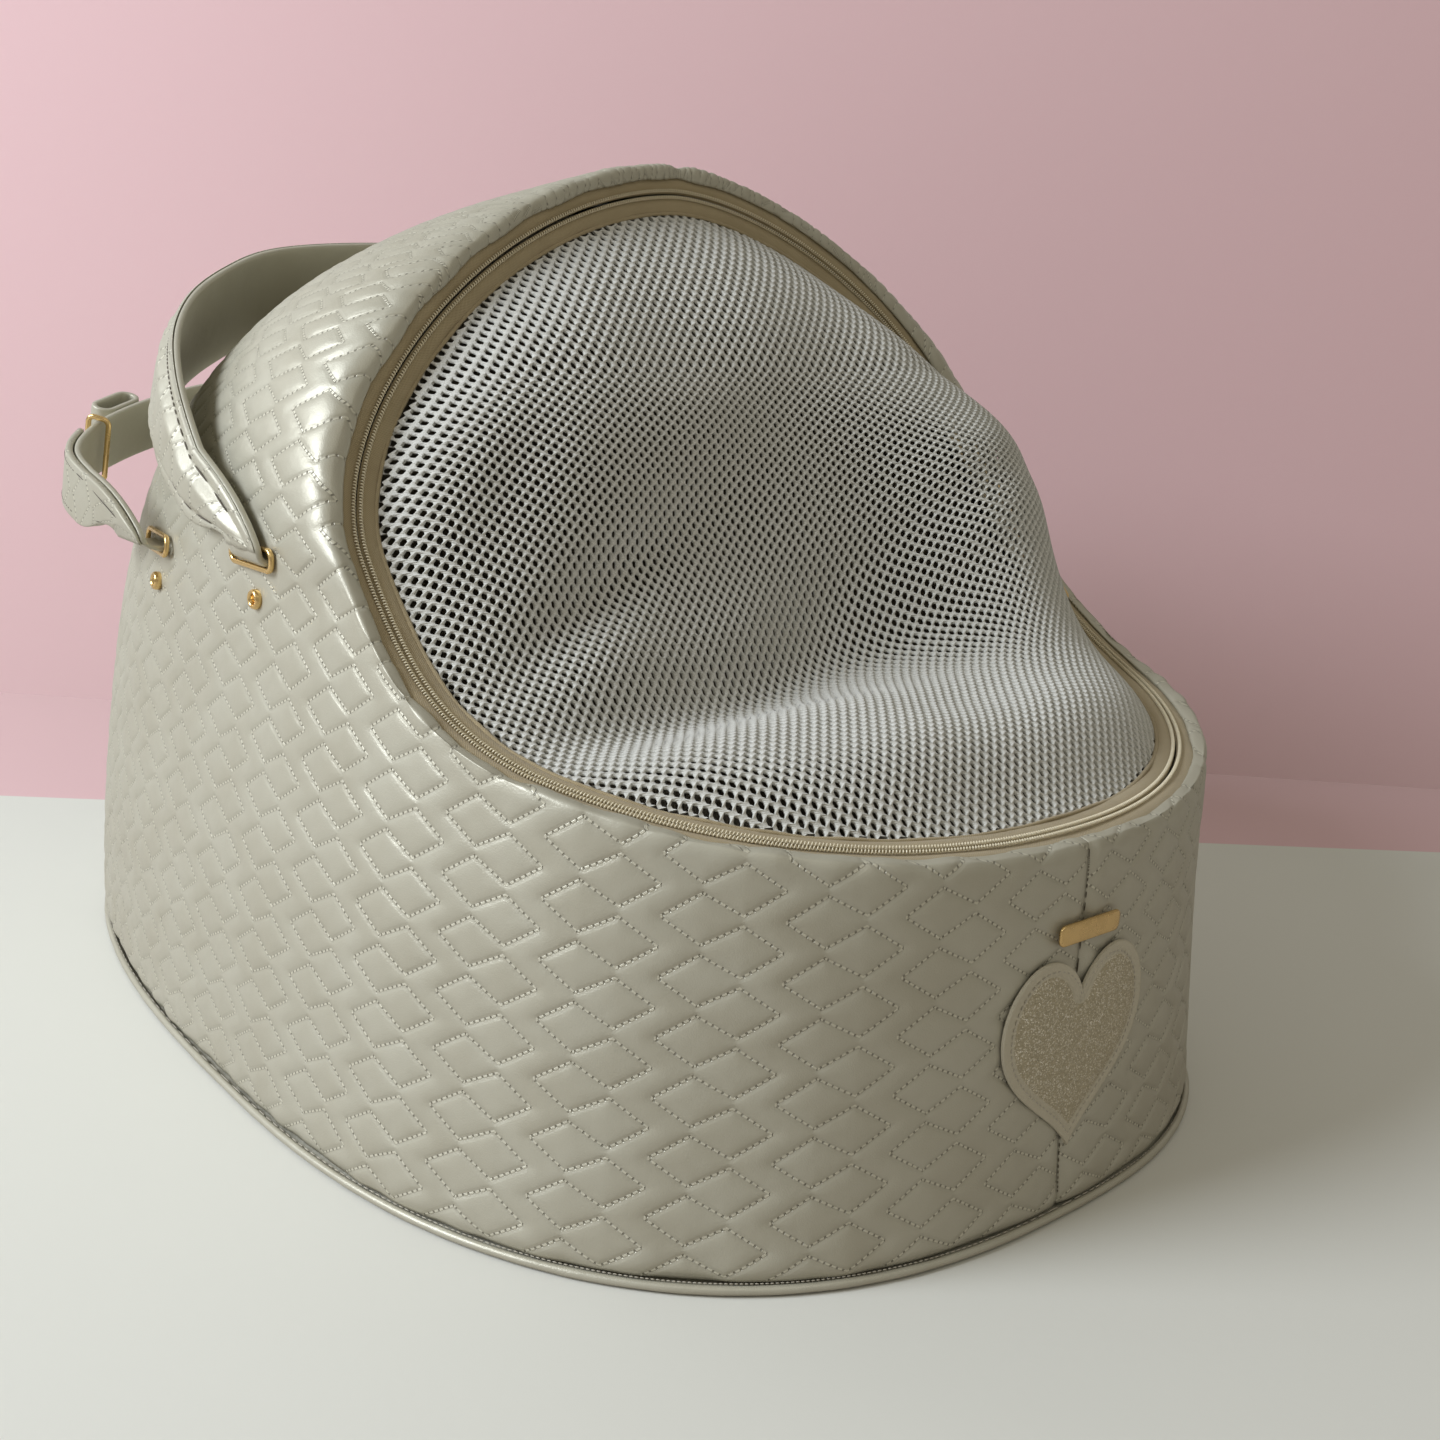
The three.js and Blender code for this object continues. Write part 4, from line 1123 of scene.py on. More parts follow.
class Workshop:
    """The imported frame's nodes and every material, and the dressing of pieces with them."""

    def __init__(self, nodes: dict[str, bpy.types.Object]) -> None:
        """Keep the CAD nodes' objects by name, and make the materials."""
        self.nodes = nodes
        self.by_slot = {slot: finish.make() for slot, finish in SLOT_FINISHES.items()}
        self.thread, self.dark_thread = PALE_THREAD.make(), DARK_THREAD.make()

    def paint(self, piece: bpy.types.Object, material: bpy.types.Material) -> None:
        """Give a piece one material."""
        piece.data.materials.clear()
        piece.data.materials.append(material)

    def dress(
        self,
        piece: bpy.types.Object,
        slot: Slot,
        body: str | None,
        *nodes: str,
        material: bpy.types.Material | None = None,
    ) -> bpy.types.Object:
        """Give a piece its finish, body and the CAD nodes that it stands for.

        Args:
            piece: The finished piece.
            slot: The record slot of its finish.
            body: The CAD body it rides on, or None where it lies between two and rides on none.
            nodes: The CAD nodes that it replaces.
            material: A finish of its own instead of the slot's.

        Returns:
            The piece.
        """
        self.paint(piece, material or self.by_slot[slot])
        if nodes:
            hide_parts(*nodes)
        if body is not None:
            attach(piece, body)
        count = sum(len(p.vertices) - 2 for p in piece.data.polygons)
        log.info("%s: %d triangles", piece.name, count)
        return piece


# ---------------------------------------------------------------------------
# Shell: quilted panels, piping, floor and lining
# ---------------------------------------------------------------------------


@dataclass
class QuiltedShell:
    """The two quilted side panels, sewn together at the front and the rear.

    Each fade is the distance from an edge over which something comes to its full size.
    """

    columns: int = 560
    rows: int = 160
    back_rows: int = 8
    depth: float = 3.4 * MM
    sink: float = 0.55 * MM
    seam_gap: float = 0.2 * MM
    seam_dip: float = 1.1 * MM
    seam_dip_width: float = 2.0 * MM
    tuck: float = 0.75 * MM
    tuck_width: float = 1.6 * MM
    sway: float = 0.7 * MM
    sway_size: float = 130 * MM
    lip_reach: float = 1.9 * MM
    lip_rise: float = 0.5 * MM
    lip_width: float = 7 * MM
    pucker: float = 0.35 * MM
    pucker_size: float = 15 * MM
    lip_pucker: float = 0.5 * MM
    lip_relief: float = 0.45
    foot_puckers: tuple[float, float] = (3 * MM, 22 * MM)
    lip_puckers: tuple[float, float] = (2 * MM, 14 * MM)
    pucker_stretch: float = 0.15
    seam_end: float = 10 * MM
    base_fade: float = 5 * MM
    seam_fade: float = 6 * MM
    lip_fade: float = 9 * MM
    thread_span: tuple[float, float] = (0.03, 0.93)
    thread_depth: float = 1.25 * MM
    fill: float = 0.7

    @staticmethod
    def chart(face: Array, normal: Array, start: Array) -> Array:
        """Lay the quilted cloth on the wall, so that its columns stand upright.

        Args:
            face: The wall's points, by turn and height.
            normal: Its outward directions.
            start: The distance round the base at each turn.

        Returns:
            The distance round and the distance up at each point.
        """
        level = unit(np.cross(UP, normal))
        step = np.diff(face, axis=1)
        sideways = (step * level[:, 1:]).sum(axis=2)
        upwards = np.linalg.norm(step - sideways[..., None] * level[:, 1:], axis=2)
        nought = np.zeros((len(face), 1))
        round_it = start + np.concatenate([nought, sideways.cumsum(axis=1)], axis=1)
        rise = np.concatenate([nought, upwards.cumsum(axis=1)], axis=1)
        return np.stack([round_it, rise], axis=-1)

    def keep_apart(self, points: Array, side: Side) -> None:
        """Hold a panel's points on its own side of the seams."""
        points[..., 0] = side.value * np.maximum(side.value * points[..., 0], self.seam_gap / 2)

    def stand(self, face: Array, chart: Array, rise: Array, to_seam: Array) -> Array:
        """How far the leather stands off the wall: filling, sway, puckers and seams.

        Args:
            face: The wall's points, by turn and height.
            chart: The quilted cloth's places there.
            rise: The distance up from the base.
            to_seam: The distance round to the nearer seam.

        Returns:
            The distance at each point.
        """
        shape, flat = rise.shape, face.reshape(-1, 3)
        to_lip = rise[:, -1:] - rise
        relief = QUILT.relief(chart.reshape(-1, 2)).reshape(shape)
        relief *= smoothstep(rise, 0, self.base_fade) * smoothstep(to_seam, 0, self.seam_fade)
        relief *= self.lip_relief + (1 - self.lip_relief) * smoothstep(to_lip, 0, self.lip_fade)
        low = ripple(flat, self.sway_size, 3).reshape(shape) * self.sway
        gathers = ripple(flat * [1, 1, self.pucker_stretch], self.pucker_size, 5).reshape(shape)
        low += gathers * self.pucker * (1 - smoothstep(rise, *self.foot_puckers))
        low += gathers * self.lip_pucker * (1 - smoothstep(to_lip, *self.lip_puckers))
        low *= smoothstep(to_seam, 0, 2 * self.seam_fade)
        offset = relief + low - self.sink
        below_lip = smoothstep(to_lip, 0, self.seam_end)
        offset -= self.seam_dip * below_lip * hump(to_seam, self.seam_dip_width)
        offset -= self.tuck * hump(rise, self.tuck_width)
        return offset

    def panel(self, side: Side, shop: Workshop) -> None:
        """Make one side's panel, with the filling's relief and a closed back."""
        start = 0.0 if side is Side.RIGHT else math.pi
        turns = FORM.wall_turns(start, start + math.pi, self.columns)
        t, v = np.meshgrid(turns, np.linspace(0, 1, self.rows + 1), indexing="ij")
        face = FORM.wall(t.ravel(), v.ravel()).reshape(*t.shape, 3)
        self.keep_apart(face, side)
        normal = unit(np.cross(np.gradient(face, axis=0), np.gradient(face, axis=1)))
        around, rise = run_length(face), run_length(face, 1)
        middle = np.argmin(np.abs(turns - (start + math.pi / 2)))
        chart = self.chart(face, normal, around[:, :1] - around[middle, 0])
        offset = self.stand(face, chart, rise, np.minimum(around, around[-1:] - around))
        _, rim_out, rim_normal = FORM.rim(turns)
        over = rim_normal * self.lip_rise - rim_out * self.lip_reach
        lip = 1 - smoothstep(rise[:, -1:] - rise, 0, self.lip_width)
        outer = face + normal * offset[..., None] + over[:, None] * lip[..., None]
        bt, bv = np.meshgrid(turns, np.linspace(1, 0, self.back_rows), indexing="ij")
        back = FORM.inside(bt.ravel(), bv.ravel(), self.depth).reshape(*bt.shape, 3)
        self.keep_apart(outer, side)
        self.keep_apart(back, side)
        grid = np.concatenate([outer, back, outer[:, :1]], axis=1)
        ends = np.repeat(chart[:, -1:], self.back_rows, axis=1)
        charts = np.concatenate([chart, ends, chart[:, :1]], axis=1)
        piece = Formed(
            f"panel_{side.label}_quilt", self.columns, grid.shape[1] - 1,
            lambda i, j: grid[i, j], lambda i, j: charts[i, j], capped=True,
        ).make()
        shop.dress(piece, Slot.PEARL, "shell", f"panel_{side.label}")

    def seam_threads(self, shop: Workshop) -> None:
        """Sew the front and rear seams with a row of short, sunken stitches."""
        v = np.linspace(*self.thread_span, 60)
        lines = []
        for turn in (0.0, math.pi):
            t = np.full_like(v, turn)
            normal = FORM.wall_normal(t, v)
            normal[:, 0] = 0
            lines.append((FORM.wall(t, v) * [0, 1, 1] - normal * self.thread_depth, normal))
        piece = StitchRun(pitch=2.6 * MM, thread=0.5 * MM).lay("seam_threads", lines)
        shop.dress(piece, Slot.PLAIN, "shell", material=shop.dark_thread)

    def make(self, shop: Workshop) -> None:
        """Make the shell's pieces."""
        for side in Side:
            self.panel(side, shop)
        self.seam_threads(shop)


@dataclass
class Underside:
    """Piping round the base, and the flat leather bottom."""

    piping_radius: float = 1.5 * MM
    piping_z: float = 1.6 * MM
    unevenness: float = 0.045
    uneven_size: float = 16 * MM
    stations: int = 460
    thread_gap: float = 0.55 * MM
    thread_inset: float = 0.3 * MM
    bottom_inset: float = 2.1 * MM
    bottom_height: float = 1.9 * MM
    bottom_turns: int = 180

    def piping(self, shop: Workshop) -> None:
        """A cord wrapped in leather, slightly uneven, that stands out along the base seam."""
        turns = FORM.wall_turns(0, TURN, self.stations)
        turns[-1] = TURN
        frames = FORM.base_frames(turns, self.piping_z)
        disc = oval_section(2 * self.piping_radius, 2 * self.piping_radius, 2.0, 13)
        wobble = 1 + closed_ripple(frames.point, self.uneven_size, 11, self.unevenness)
        piece = swept(
            "piping_welt", frames, lambda i, j: disc[j] * wobble[i][:, None], 12, False
        )
        shop.dress(piece, Slot.PLAIN, "shell", "base_piping")
        top = self.piping_z + self.piping_radius + self.thread_gap
        line = FORM.base(turns, top, self.thread_inset)
        piece = StitchRun(pitch=2.6 * MM, share=0.8, thread=0.45 * MM).lay(
            "piping_threads", [(line, frames.across)]
        )
        shop.dress(piece, Slot.PLAIN, "shell", material=shop.thread)

    def bottom(self, shop: Workshop) -> None:
        """The bottom: a flat leather panel with a turned edge."""
        profile = [(0, 0, 0), (0.35, 0, 0), (0.7, 0, 0), (0.93, 0, 0), (1, 0, 0.5), (1, 0.3, 0),
                   (1, 0.7, 0.5), (0.93, 1, 0), (0.7, 1, 0), (0.35, 1, 0), (0, 1, 0)]
        reaches, drops, insets = np.array(profile).T
        turns = np.linspace(0, TURN, self.bottom_turns + 1)
        centre = np.array([0, FORM.widest_y / 2, 0])

        def place(i: Array, j: Array) -> Array:
            """The points of the panel's face and edge."""
            edge = FORM.base(turns[i % self.bottom_turns], 0.0, self.bottom_inset)
            pulled = edge - unit(edge - centre) * insets[j][:, None] * MM
            points = centre + (pulled - centre) * reaches[j][:, None]
            points[:, 2] = drops[j] * self.bottom_height
            return points

        piece = Formed("bottom_leather", self.bottom_turns, len(profile) - 1, place).make()
        shop.dress(piece, Slot.PLAIN, "shell", "bottom_panel")

    def make(self, shop: Workshop) -> None:
        """Make the underside's pieces."""
        self.piping(shop)
        self.bottom(shop)


@dataclass
class Interior:
    """The cloth tub inside the shell, and the cushion that lies in it."""

    outer_depth: float = 9.0 * MM
    inner_depth: float = 10.0 * MM
    low_v: float = 0.06
    high_v: float = 0.88
    lining_turns: int = 240
    rise_rows: int = 26
    floor_z: float = 5.7 * MM
    cloth: float = 1.0 * MM
    crease: float = 0.9 * MM
    crease_size: float = 60 * MM
    crease_stretch: float = 0.35
    floor_rings: tuple[float, ...] = (0.0, 0.5, 0.85, 1.0)
    lining_cut: tuple[float, float] = (0.74, 0.72)
    lining_area: float = 0.40
    cushion_turns: int = 96
    cushion_low: float = 7.6 * MM
    cushion_high: float = 24.0 * MM
    cushion_inset: float = 20.0 * MM
    cushion_fill: float = 0.55
    swell: float = 5.5 * MM
    pressure: float = 4.0
    voxel: float = 6.0 * MM
    frames: int = 20
    seam_width: float = 3.2 * MM
    seam_outset: float = 2.6 * MM
    quick_outset: float = 1.4 * MM
    seam_stations: int = 220
    rest_slack: float = 0.3 * MM

    def lining(self, shop: Workshop) -> None:
        """The lining: a closed tub of cloth with soft creases up its wall."""
        count = self.lining_turns
        turns = FORM.wall_turns(0, TURN, count)
        rise = np.linspace(self.low_v, self.high_v, self.rise_rows)
        t, v = np.meshgrid(turns[:-1], rise, indexing="ij")
        inner = FORM.inside(t.ravel(), v.ravel(), self.inner_depth)
        outer = FORM.inside(t.ravel(), v.ravel(), self.outer_depth)
        stretched = inner * [1, 1, self.crease_stretch]
        folds = np.clip(ripple(stretched, self.crease_size, 21), -1, 1) * self.crease
        drawn = unit(outer - inner) * (self.crease + folds)[:, None]
        inner, outer = ((face - drawn).reshape(count, -1, 3) for face in (inner, outer))

        def floor(edge: Array, z: float) -> Array:
            """Rings from the centre to below an edge, at height z."""
            ring = edge[:, None] * np.array(self.floor_rings)[None, :, None]
            ring[..., 2] = z
            return ring

        top = floor(inner[:, 0], self.floor_z + self.cloth)
        under = floor(outer[:, 0], self.floor_z)[:, ::-1]
        grid = np.concatenate([top, inner, outer[:, ::-1], under], axis=1)
        piece = Formed(
            "lining_tub", count, grid.shape[1] - 1, lambda i, j: grid[i % count, j]
        ).make()
        shop.dress(piece, Slot.LINING, "shell", "lining")

    def cushion(self, shop: Workshop) -> None:
        """The floor cushion, swollen by its filling."""
        profile = [(0, 0), (0.5, 0), (0.92, 0), (0.985, 0.2), (1, 0.5),
                   (0.985, 0.8), (0.92, 1), (0.5, 1.08), (0, 1.1)]
        reach, height = np.array(profile).T
        count = self.cushion_turns
        turns = np.linspace(0, TURN, count + 1)
        centre = np.array([0, FORM.widest_y / 2, 0])
        thick = self.cushion_high - self.cushion_low

        def place(i: Array, j: Array) -> Array:
            """The points of the cushion before it swells."""
            edge = FORM.base(turns[i % count], 0.0, self.cushion_inset)
            points = centre + (edge - centre) * reach[j][:, None]
            points[:, 2] = self.cushion_low + thick * height[j]
            return points

        piece = Formed("cushion_pad", count, len(profile) - 1, place).make()
        self.swell_by_cloth(piece)
        shop.dress(piece, Slot.CUSHION, "shell", "floor_cushion")

    def swell_by_cloth(self, piece: bpy.types.Object) -> None:
        """Let a piece's cover swell under pressure, and keep the result in its mesh."""
        bpy.context.view_layer.objects.active = piece
        remesh = piece.modifiers.new("remesh", "REMESH")
        remesh.mode, remesh.voxel_size = "VOXEL", self.voxel
        self.bake(piece)
        rest = np.array([v.co for v in piece.data.vertices])
        cloth = piece.modifiers.new("cloth", "CLOTH")
        cloth.settings.use_pressure = True
        cloth.settings.uniform_pressure_force = self.pressure
        cloth.settings.effector_weights.gravity = 0.0
        scene = bpy.context.scene
        for frame in range(1, self.frames + 1):
            scene.frame_set(frame)
        self.bake(piece)
        scene.frame_set(1)
        moved = np.array([v.co for v in piece.data.vertices]) - rest
        length = np.linalg.norm(moved, axis=1, keepdims=True)
        kept = rest + moved * np.minimum(1, self.swell / np.maximum(length, 1e-9))
        kept[:, 2] = np.maximum(kept[:, 2], self.cushion_low - self.rest_slack)
        piece.data.vertices.foreach_set("co", kept.ravel())
        smooth = piece.modifiers.new("smooth", "SUBSURF")
        smooth.levels = smooth.render_levels = 1
        self.bake(piece)
        piece.data.polygons.foreach_set("use_smooth", np.ones(len(piece.data.polygons), bool))

    @staticmethod
    def bake(piece: bpy.types.Object) -> None:
        """Apply every modifier of a piece to its mesh."""
        graph = bpy.context.evaluated_depsgraph_get()
        mesh = bpy.data.meshes.new_from_object(piece.evaluated_get(graph))
        piece.modifiers.clear()
        piece.data = mesh

    def cushion_seam(self, shop: Workshop) -> None:
        """The piped seam round the cushion's middle."""
        outset = self.seam_outset
        middle = (self.cushion_low + self.cushion_high) / 2
        turns = FORM.wall_turns(0, TURN, self.seam_stations)
        frames = FORM.base_frames(turns, middle, self.cushion_inset - outset)
        disc = oval_section(self.seam_width, self.seam_width, 2.0, 9)
        piece = swept("cushion_seam", frames, disc, 8, False)
        shop.dress(piece, Slot.CUSHION, "shell")

    def make(self, shop: Workshop) -> None:
        """Make the interior's pieces, and paint the hidden CAD ones."""
        self.lining(shop)
        self.cushion(shop)
        self.cushion_seam(shop)
        for node, slot in (("wall_foam", Slot.FOAM), ("base_board", Slot.BOARD),
                           ("rim_hoop", Slot.STEEL)):
            shop.paint(shop.nodes[node], shop.by_slot[slot])


# ---------------------------------------------------------------------------
# Zip and mesh cover
# ---------------------------------------------------------------------------


def rim_frames(count: int) -> Frames:
    """Evenly spaced stations round the opening."""
    return Frames(*FORM.rim(FORM.rim_turns(count)))


@dataclass
class Zip:
    """Two tapes and two rows of coil round the opening."""

    stations: int = 520
    coil_offset: float = 1.25 * MM
    coil_height: float = 1.45 * MM
    coil_reach: float = 0.5 * MM
    coil_rise: float = 0.55 * MM
    wire: float = 0.56 * MM
    coil_pitch: float = 1.12 * MM
    turn_points: int = 6
    tape_near: float = 0.4 * MM
    tape_far: tuple[float, float] = (7.4 * MM, 7.6 * MM)
    tape_crown: float = 0.8 * MM
    tape_z: float = -0.2 * MM
    tape_thick: float = 0.8 * MM
    tape_wave: float = 0.28 * MM
    tape_points: int = 9
    wave_size: float = 24 * MM

    def tape(self, which: str, near: float, far: float, body: str, shop: Workshop) -> None:
        """One woven tape, a little crowned between its coil and its outer seam."""
        frames = rim_frames(self.stations)
        there = np.linspace(near, far, self.tape_points)
        back = np.linspace(far, near, self.tape_points)
        across = np.concatenate([there, back, [near]])
        arch = np.sin(np.pi * (across - near) / (far - near))
        side = np.repeat([1, -1, 1], [len(there), len(back), 1]) * self.tape_thick / 2
        section = np.stack([across, self.tape_z + self.tape_crown * arch + side], axis=1)
        wave = closed_ripple(frames.point, self.wave_size, 31, self.tape_wave)

        def bent(i: Array, j: Array) -> Array:
            """The section, lifted here and there."""
            lift = wave[i] * arch[j]
            return section[j] + np.stack([0 * lift, lift], axis=1)

        piece = swept(f"{which}_tape_weave", frames, bent, len(section) - 1, False)
        shop.dress(piece, Slot.TAPE, body, f"{which}_zip_tape")

    def coil(self, which: str, sign: int, body: str, shop: Workshop) -> None:
        """One row of nylon coil: a helix flattened on to its tape."""
        loops = int(rim_frames(400).length[-1] / self.coil_pitch)
        rim = rim_frames(loops * self.turn_points)
        angle = np.arange(len(rim.point)) * TURN / self.turn_points
        side, lift = np.cos(angle)[:, None], np.sin(angle)[:, None]
        centre = rim.point + rim.across * (sign * self.coil_offset + side * self.coil_reach)
        centre = centre + rim.above * (self.coil_height + lift * self.coil_rise)
        radial = unit(rim.across * side + rim.above * lift)
        frames = Frames(centre, radial, unit(np.cross(rim.across, rim.above)))
        disc = oval_section(self.wire, self.wire, 2.0, 6)
        piece = swept(f"{which}_coil_helix", frames, disc, 5, False)
        shop.dress(piece, Slot.COIL, body, f"{which}_zip_coil")

    def make(self, shop: Workshop) -> None:
        """Make both tapes and both coils."""
        outer, inner = self.tape_far
        self.tape("body", self.tape_near, outer, "shell", shop)
        self.coil("body", 1, "shell", shop)
        self.tape("cover", -inner, -self.tape_near, "cover", shop)
        self.coil("cover", -1, "cover", shop)


@dataclass(frozen=True)
class Swell:
    """A soft rise or fold of the mesh, over a place on the flat-laid opening.

    Its lengths are in millimetres and its heading in degrees.
    """

    x: float
    s: float
    height: float
    length: float
    width: float
    heading: float = 0.0

    def at(self, x: Array, s: Array) -> Array:
        """Its height at places on the opening."""
        turn = math.radians(self.heading)
        dx, ds = x - self.x * MM, s - self.s * MM
        along = dx * math.cos(turn) + ds * math.sin(turn)
        across = -dx * math.sin(turn) + ds * math.cos(turn)
        return self.height * MM * hump(along, self.length * MM) * hump(across, self.width * MM)


@dataclass
class MeshCover:
    """The air-mesh cover: a net of real holes, bulged and folded, with a rolled rim."""

    pitch: float = 4.3 * MM
    row: float = 2.38 * MM
    peak: float = 0.5 * MM
    net_width: float = 0.34
    net_length: float = 0.36
    spare_rows: int = 24
    lead: float = 5 * MM
    hole: tuple[float, float] = (0.483, 1.0976)
    inset: float = 0.2 * MM
    nudge: float = 0.3 * MM
    yarn: float = 1.15 * MM
    dish: float = 0.35 * MM
    edge: float = 7.3 * MM
    centre_share: float = 0.52
    base_height: float = 0.2 * MM
    steepness: int = 8
    bulges: tuple[Swell, ...] = (
        Swell(0, 228, 38, 1e6, 86),
        Swell(0, 41, 20, 1e6, 34),
        Swell(74, 250, 9, 66, 80),
        Swell(100, 150, 40, 50, 72),
        Swell(-40, 112, -9, 110, 15, 8),
        Swell(-95, 150, -6, 50, 12, 30),
        Swell(-112, 205, -4, 40, 14, 60),
        Swell(-20, 78, 6, 110, 17, 4),
        Swell(20, 140, -5, 80, 16, 22),
    )
    unevenness: float = 1.1 * MM
    uneven_size: float = 55 * MM
    cut: tuple[float, float] = (0.165, 0.40)
    area: float = 0.056
    rim_offset: float = 7.2 * MM
    rim_height: float = 0.35 * MM
    rim_section: tuple[float, float] = (1.5 * MM, 1.3 * MM)
    scallop: float = 0.1
    rim_stations: int = 960
    rim_wave: float = 20 * MM

    @property
    def centre(self) -> Array:
        """The middle of the flat-laid cover."""
        return np.array([0, self.centre_share * FORM.ramp_length])

    @cached_property
    def outline(self) -> tuple[Array, Array]:
        """The cover's edge about its centre: angles and distances, laid flat."""
        t = np.linspace(0, TURN, 2401)
        x, s = FORM.oval(t)
        _, out, _ = FORM.rim(t)
        slope = FORM.ramp(s)[2]
        x = x - self.edge * out[:, 0]
        s = s - self.edge * (out[:, 1] * np.cos(slope) + out[:, 2] * np.sin(slope))
        s = s - self.centre[1]
        angle = np.unwrap(np.arctan2(x, -s))
        order = np.argsort(angle)
        return angle[order], np.hypot(x, s)[order]

    def reach(self, flat: Array) -> Array:
        """How far out flat places lie, from 0 at the centre to 1 at the edge."""
        angles, radii = self.outline
        x, s = (flat - self.centre).T
        angle = np.mod(np.arctan2(x, -s) - angles[0], TURN) + angles[0]
        return np.hypot(x, s) / np.interp(angle, angles, radii)

    def surface(self, flat: Array) -> Array:
        """The bulged and folded cloth over places laid flat."""
        x, s = flat.T
        k = np.minimum(self.reach(flat), 1)
        puff = sum(bulge.at(x, s) for bulge in self.bulges) * (1 - k**self.steepness)
        places = np.stack([x, s, 0 * x], axis=1)
        puff = puff + ripple(places, self.uneven_size, 41) * self.unevenness * (1 - k**6)
        return FORM.on_ramp(x, s, self.base_height + puff)

    def lattice(self) -> bmesh.types.BMesh:
        """A flat net of six-sided cells over the whole opening, (x, s) as (X, Y)."""
        bm = bmesh.new()
        half, row = self.pitch / 2, self.row
        across = 2 * int(self.net_width / self.pitch)
        upwards = int(self.net_length / row) + self.spare_rows
        bmesh.ops.create_grid(bm, x_segments=across, y_segments=upwards, size=0.5)
        for vert in bm.verts:
            i, j = round((vert.co.x + 0.5) * across), round((vert.co.y + 0.5) * upwards)
            wander = self.peak * (1 if (i + j) % 2 else -1)
            vert.co = ((i - across / 2) * half, j * row - self.lead + wander, 0)
        split = []
        for edge in bm.edges:
            a, b = (vert.co for vert in edge.verts)
            if abs(a.x - b.x) < half * 0.1 and not edge.is_boundary:
                i = round(a.x / half + across / 2)
                j = round((min(a.y, b.y) + self.lead) / row)
                if (i + j) % 2 == 0:
                    split.append(edge)
        bmesh.ops.dissolve_edges(bm, edges=split, use_verts=False)
        return bm

    def pierced(self, side: Side) -> tuple[bmesh.types.BMesh, set[bmesh.types.BMVert]]:
        """One side's flat net with its cells cut out, and the points round the holes."""
        bm = self.lattice()
        centres = np.array([f.calc_center_median()[:2] for f in bm.faces])
        mine = (centres[:, 0] > -1e-6) == (side is Side.RIGHT)
        kept = mine & (self.reach(centres) <= 1.0)
        dropped = [face for face, keep in zip(list(bm.faces), kept) if not keep]
        bmesh.ops.delete(bm, geom=dropped, context="FACES")
        whole = [f for f in bm.faces if len(f.verts) >= 6]
        bmesh.ops.inset_individual(bm, faces=whole, thickness=self.inset, use_even_offset=False)
        for face in whole:
            centre = face.calc_center_median()
            for vert in face.verts:
                gap = vert.co - centre
                wide = min(abs(gap.x), self.pitch / 2) * (abs(gap.x) > self.nudge)
                vert.co.x = centre.x + math.copysign(wide * self.hole[0], gap.x)
                vert.co.y = centre.y + gap.y * self.hole[1]
        holes = {v for f in whole for v in f.verts}
        bmesh.ops.delete(bm, geom=whole, context="FACES_ONLY")
        return bm, holes

    def half(self, side: Side, shop: Workshop) -> None:
        """One half of the net, laid on the surface and given thickness."""
        bm, holes = self.pierced(side)
        flat = np.array([v.co[:2] for v in bm.verts])
        pull = np.minimum(1, 1 / np.maximum(self.reach(flat), 1e-9))
        flat = self.centre + (flat - self.centre) * pull[:, None]
        places = self.surface(flat)
        rightwards = self.surface(flat + [self.nudge, 0]) - places
        upwards = self.surface(flat + [0, self.nudge]) - places
        thickness = {}
        for vert, co, up in zip(bm.verts, places, unit(np.cross(rightwards, upwards))):
            vert.co = co - (up * self.dish if vert in holes else 0)
            thickness[vert] = Vector(up * self.yarn)
        loose = [v for v in bm.verts if not v.link_faces]
        bmesh.ops.delete(bm, geom=loose, context="VERTS")
        drop = {tuple(v.co): thickness[v] for v in bm.verts}
        made = bmesh.ops.extrude_face_region(bm, geom=bm.faces[:], use_keep_orig=True)
        for vert in made["geom"]:
            if isinstance(vert, bmesh.types.BMVert):
                vert.co -= drop[tuple(vert.co)]
        bmesh.ops.recalc_face_normals(bm, faces=bm.faces[:])
        piece = place_object(f"mesh_cover_{side.label}", bm)
        piece.data.set_sharp_from_angle(angle=math.radians(55))
        shop.dress(piece, Slot.MESH, "cover", "mesh_cover")

    def rolled_rim(self, shop: Workshop) -> None:
        """The mesh's scalloped edge, sewn down along the inner tape."""
        rim = rim_frames(self.rim_stations)
        point = rim.point - rim.across * self.rim_offset + rim.above * self.rim_height
        frames = Frames(point, rim.across, rim.above)
        scallop = 1 + self.scallop * np.cos(np.arange(len(point)) * TURN / 4)
        wave = closed_ripple(point, self.rim_wave, 51, self.rim_height)
        section = oval_section(*self.rim_section, 2.2, 11)

        def waved(i: Array, j: Array) -> Array:
            """The section, scalloped and lifted along the edge."""
            lift = np.stack([0 * wave[i], wave[i]], axis=1)
            return section[j] * np.stack([scallop[i], 0.5 + scallop[i] / 2], axis=1) + lift

        piece = swept("cover_rolled_edge", frames, waved, 10, False)
        shop.dress(piece, Slot.TAPE, "cover", "cover_binding")

    def make(self, shop: Workshop) -> None:
        """Make the cover's pieces."""
        for side in Side:
            self.half(side, shop)
        self.rolled_rim(shop)


# ---------------------------------------------------------------------------
# Carry handle, adjustable strap and their metal fittings
# ---------------------------------------------------------------------------


SLOTS = {"handle": (-45 * MM, 197 * MM), "strap": (47 * MM, 188 * MM)}


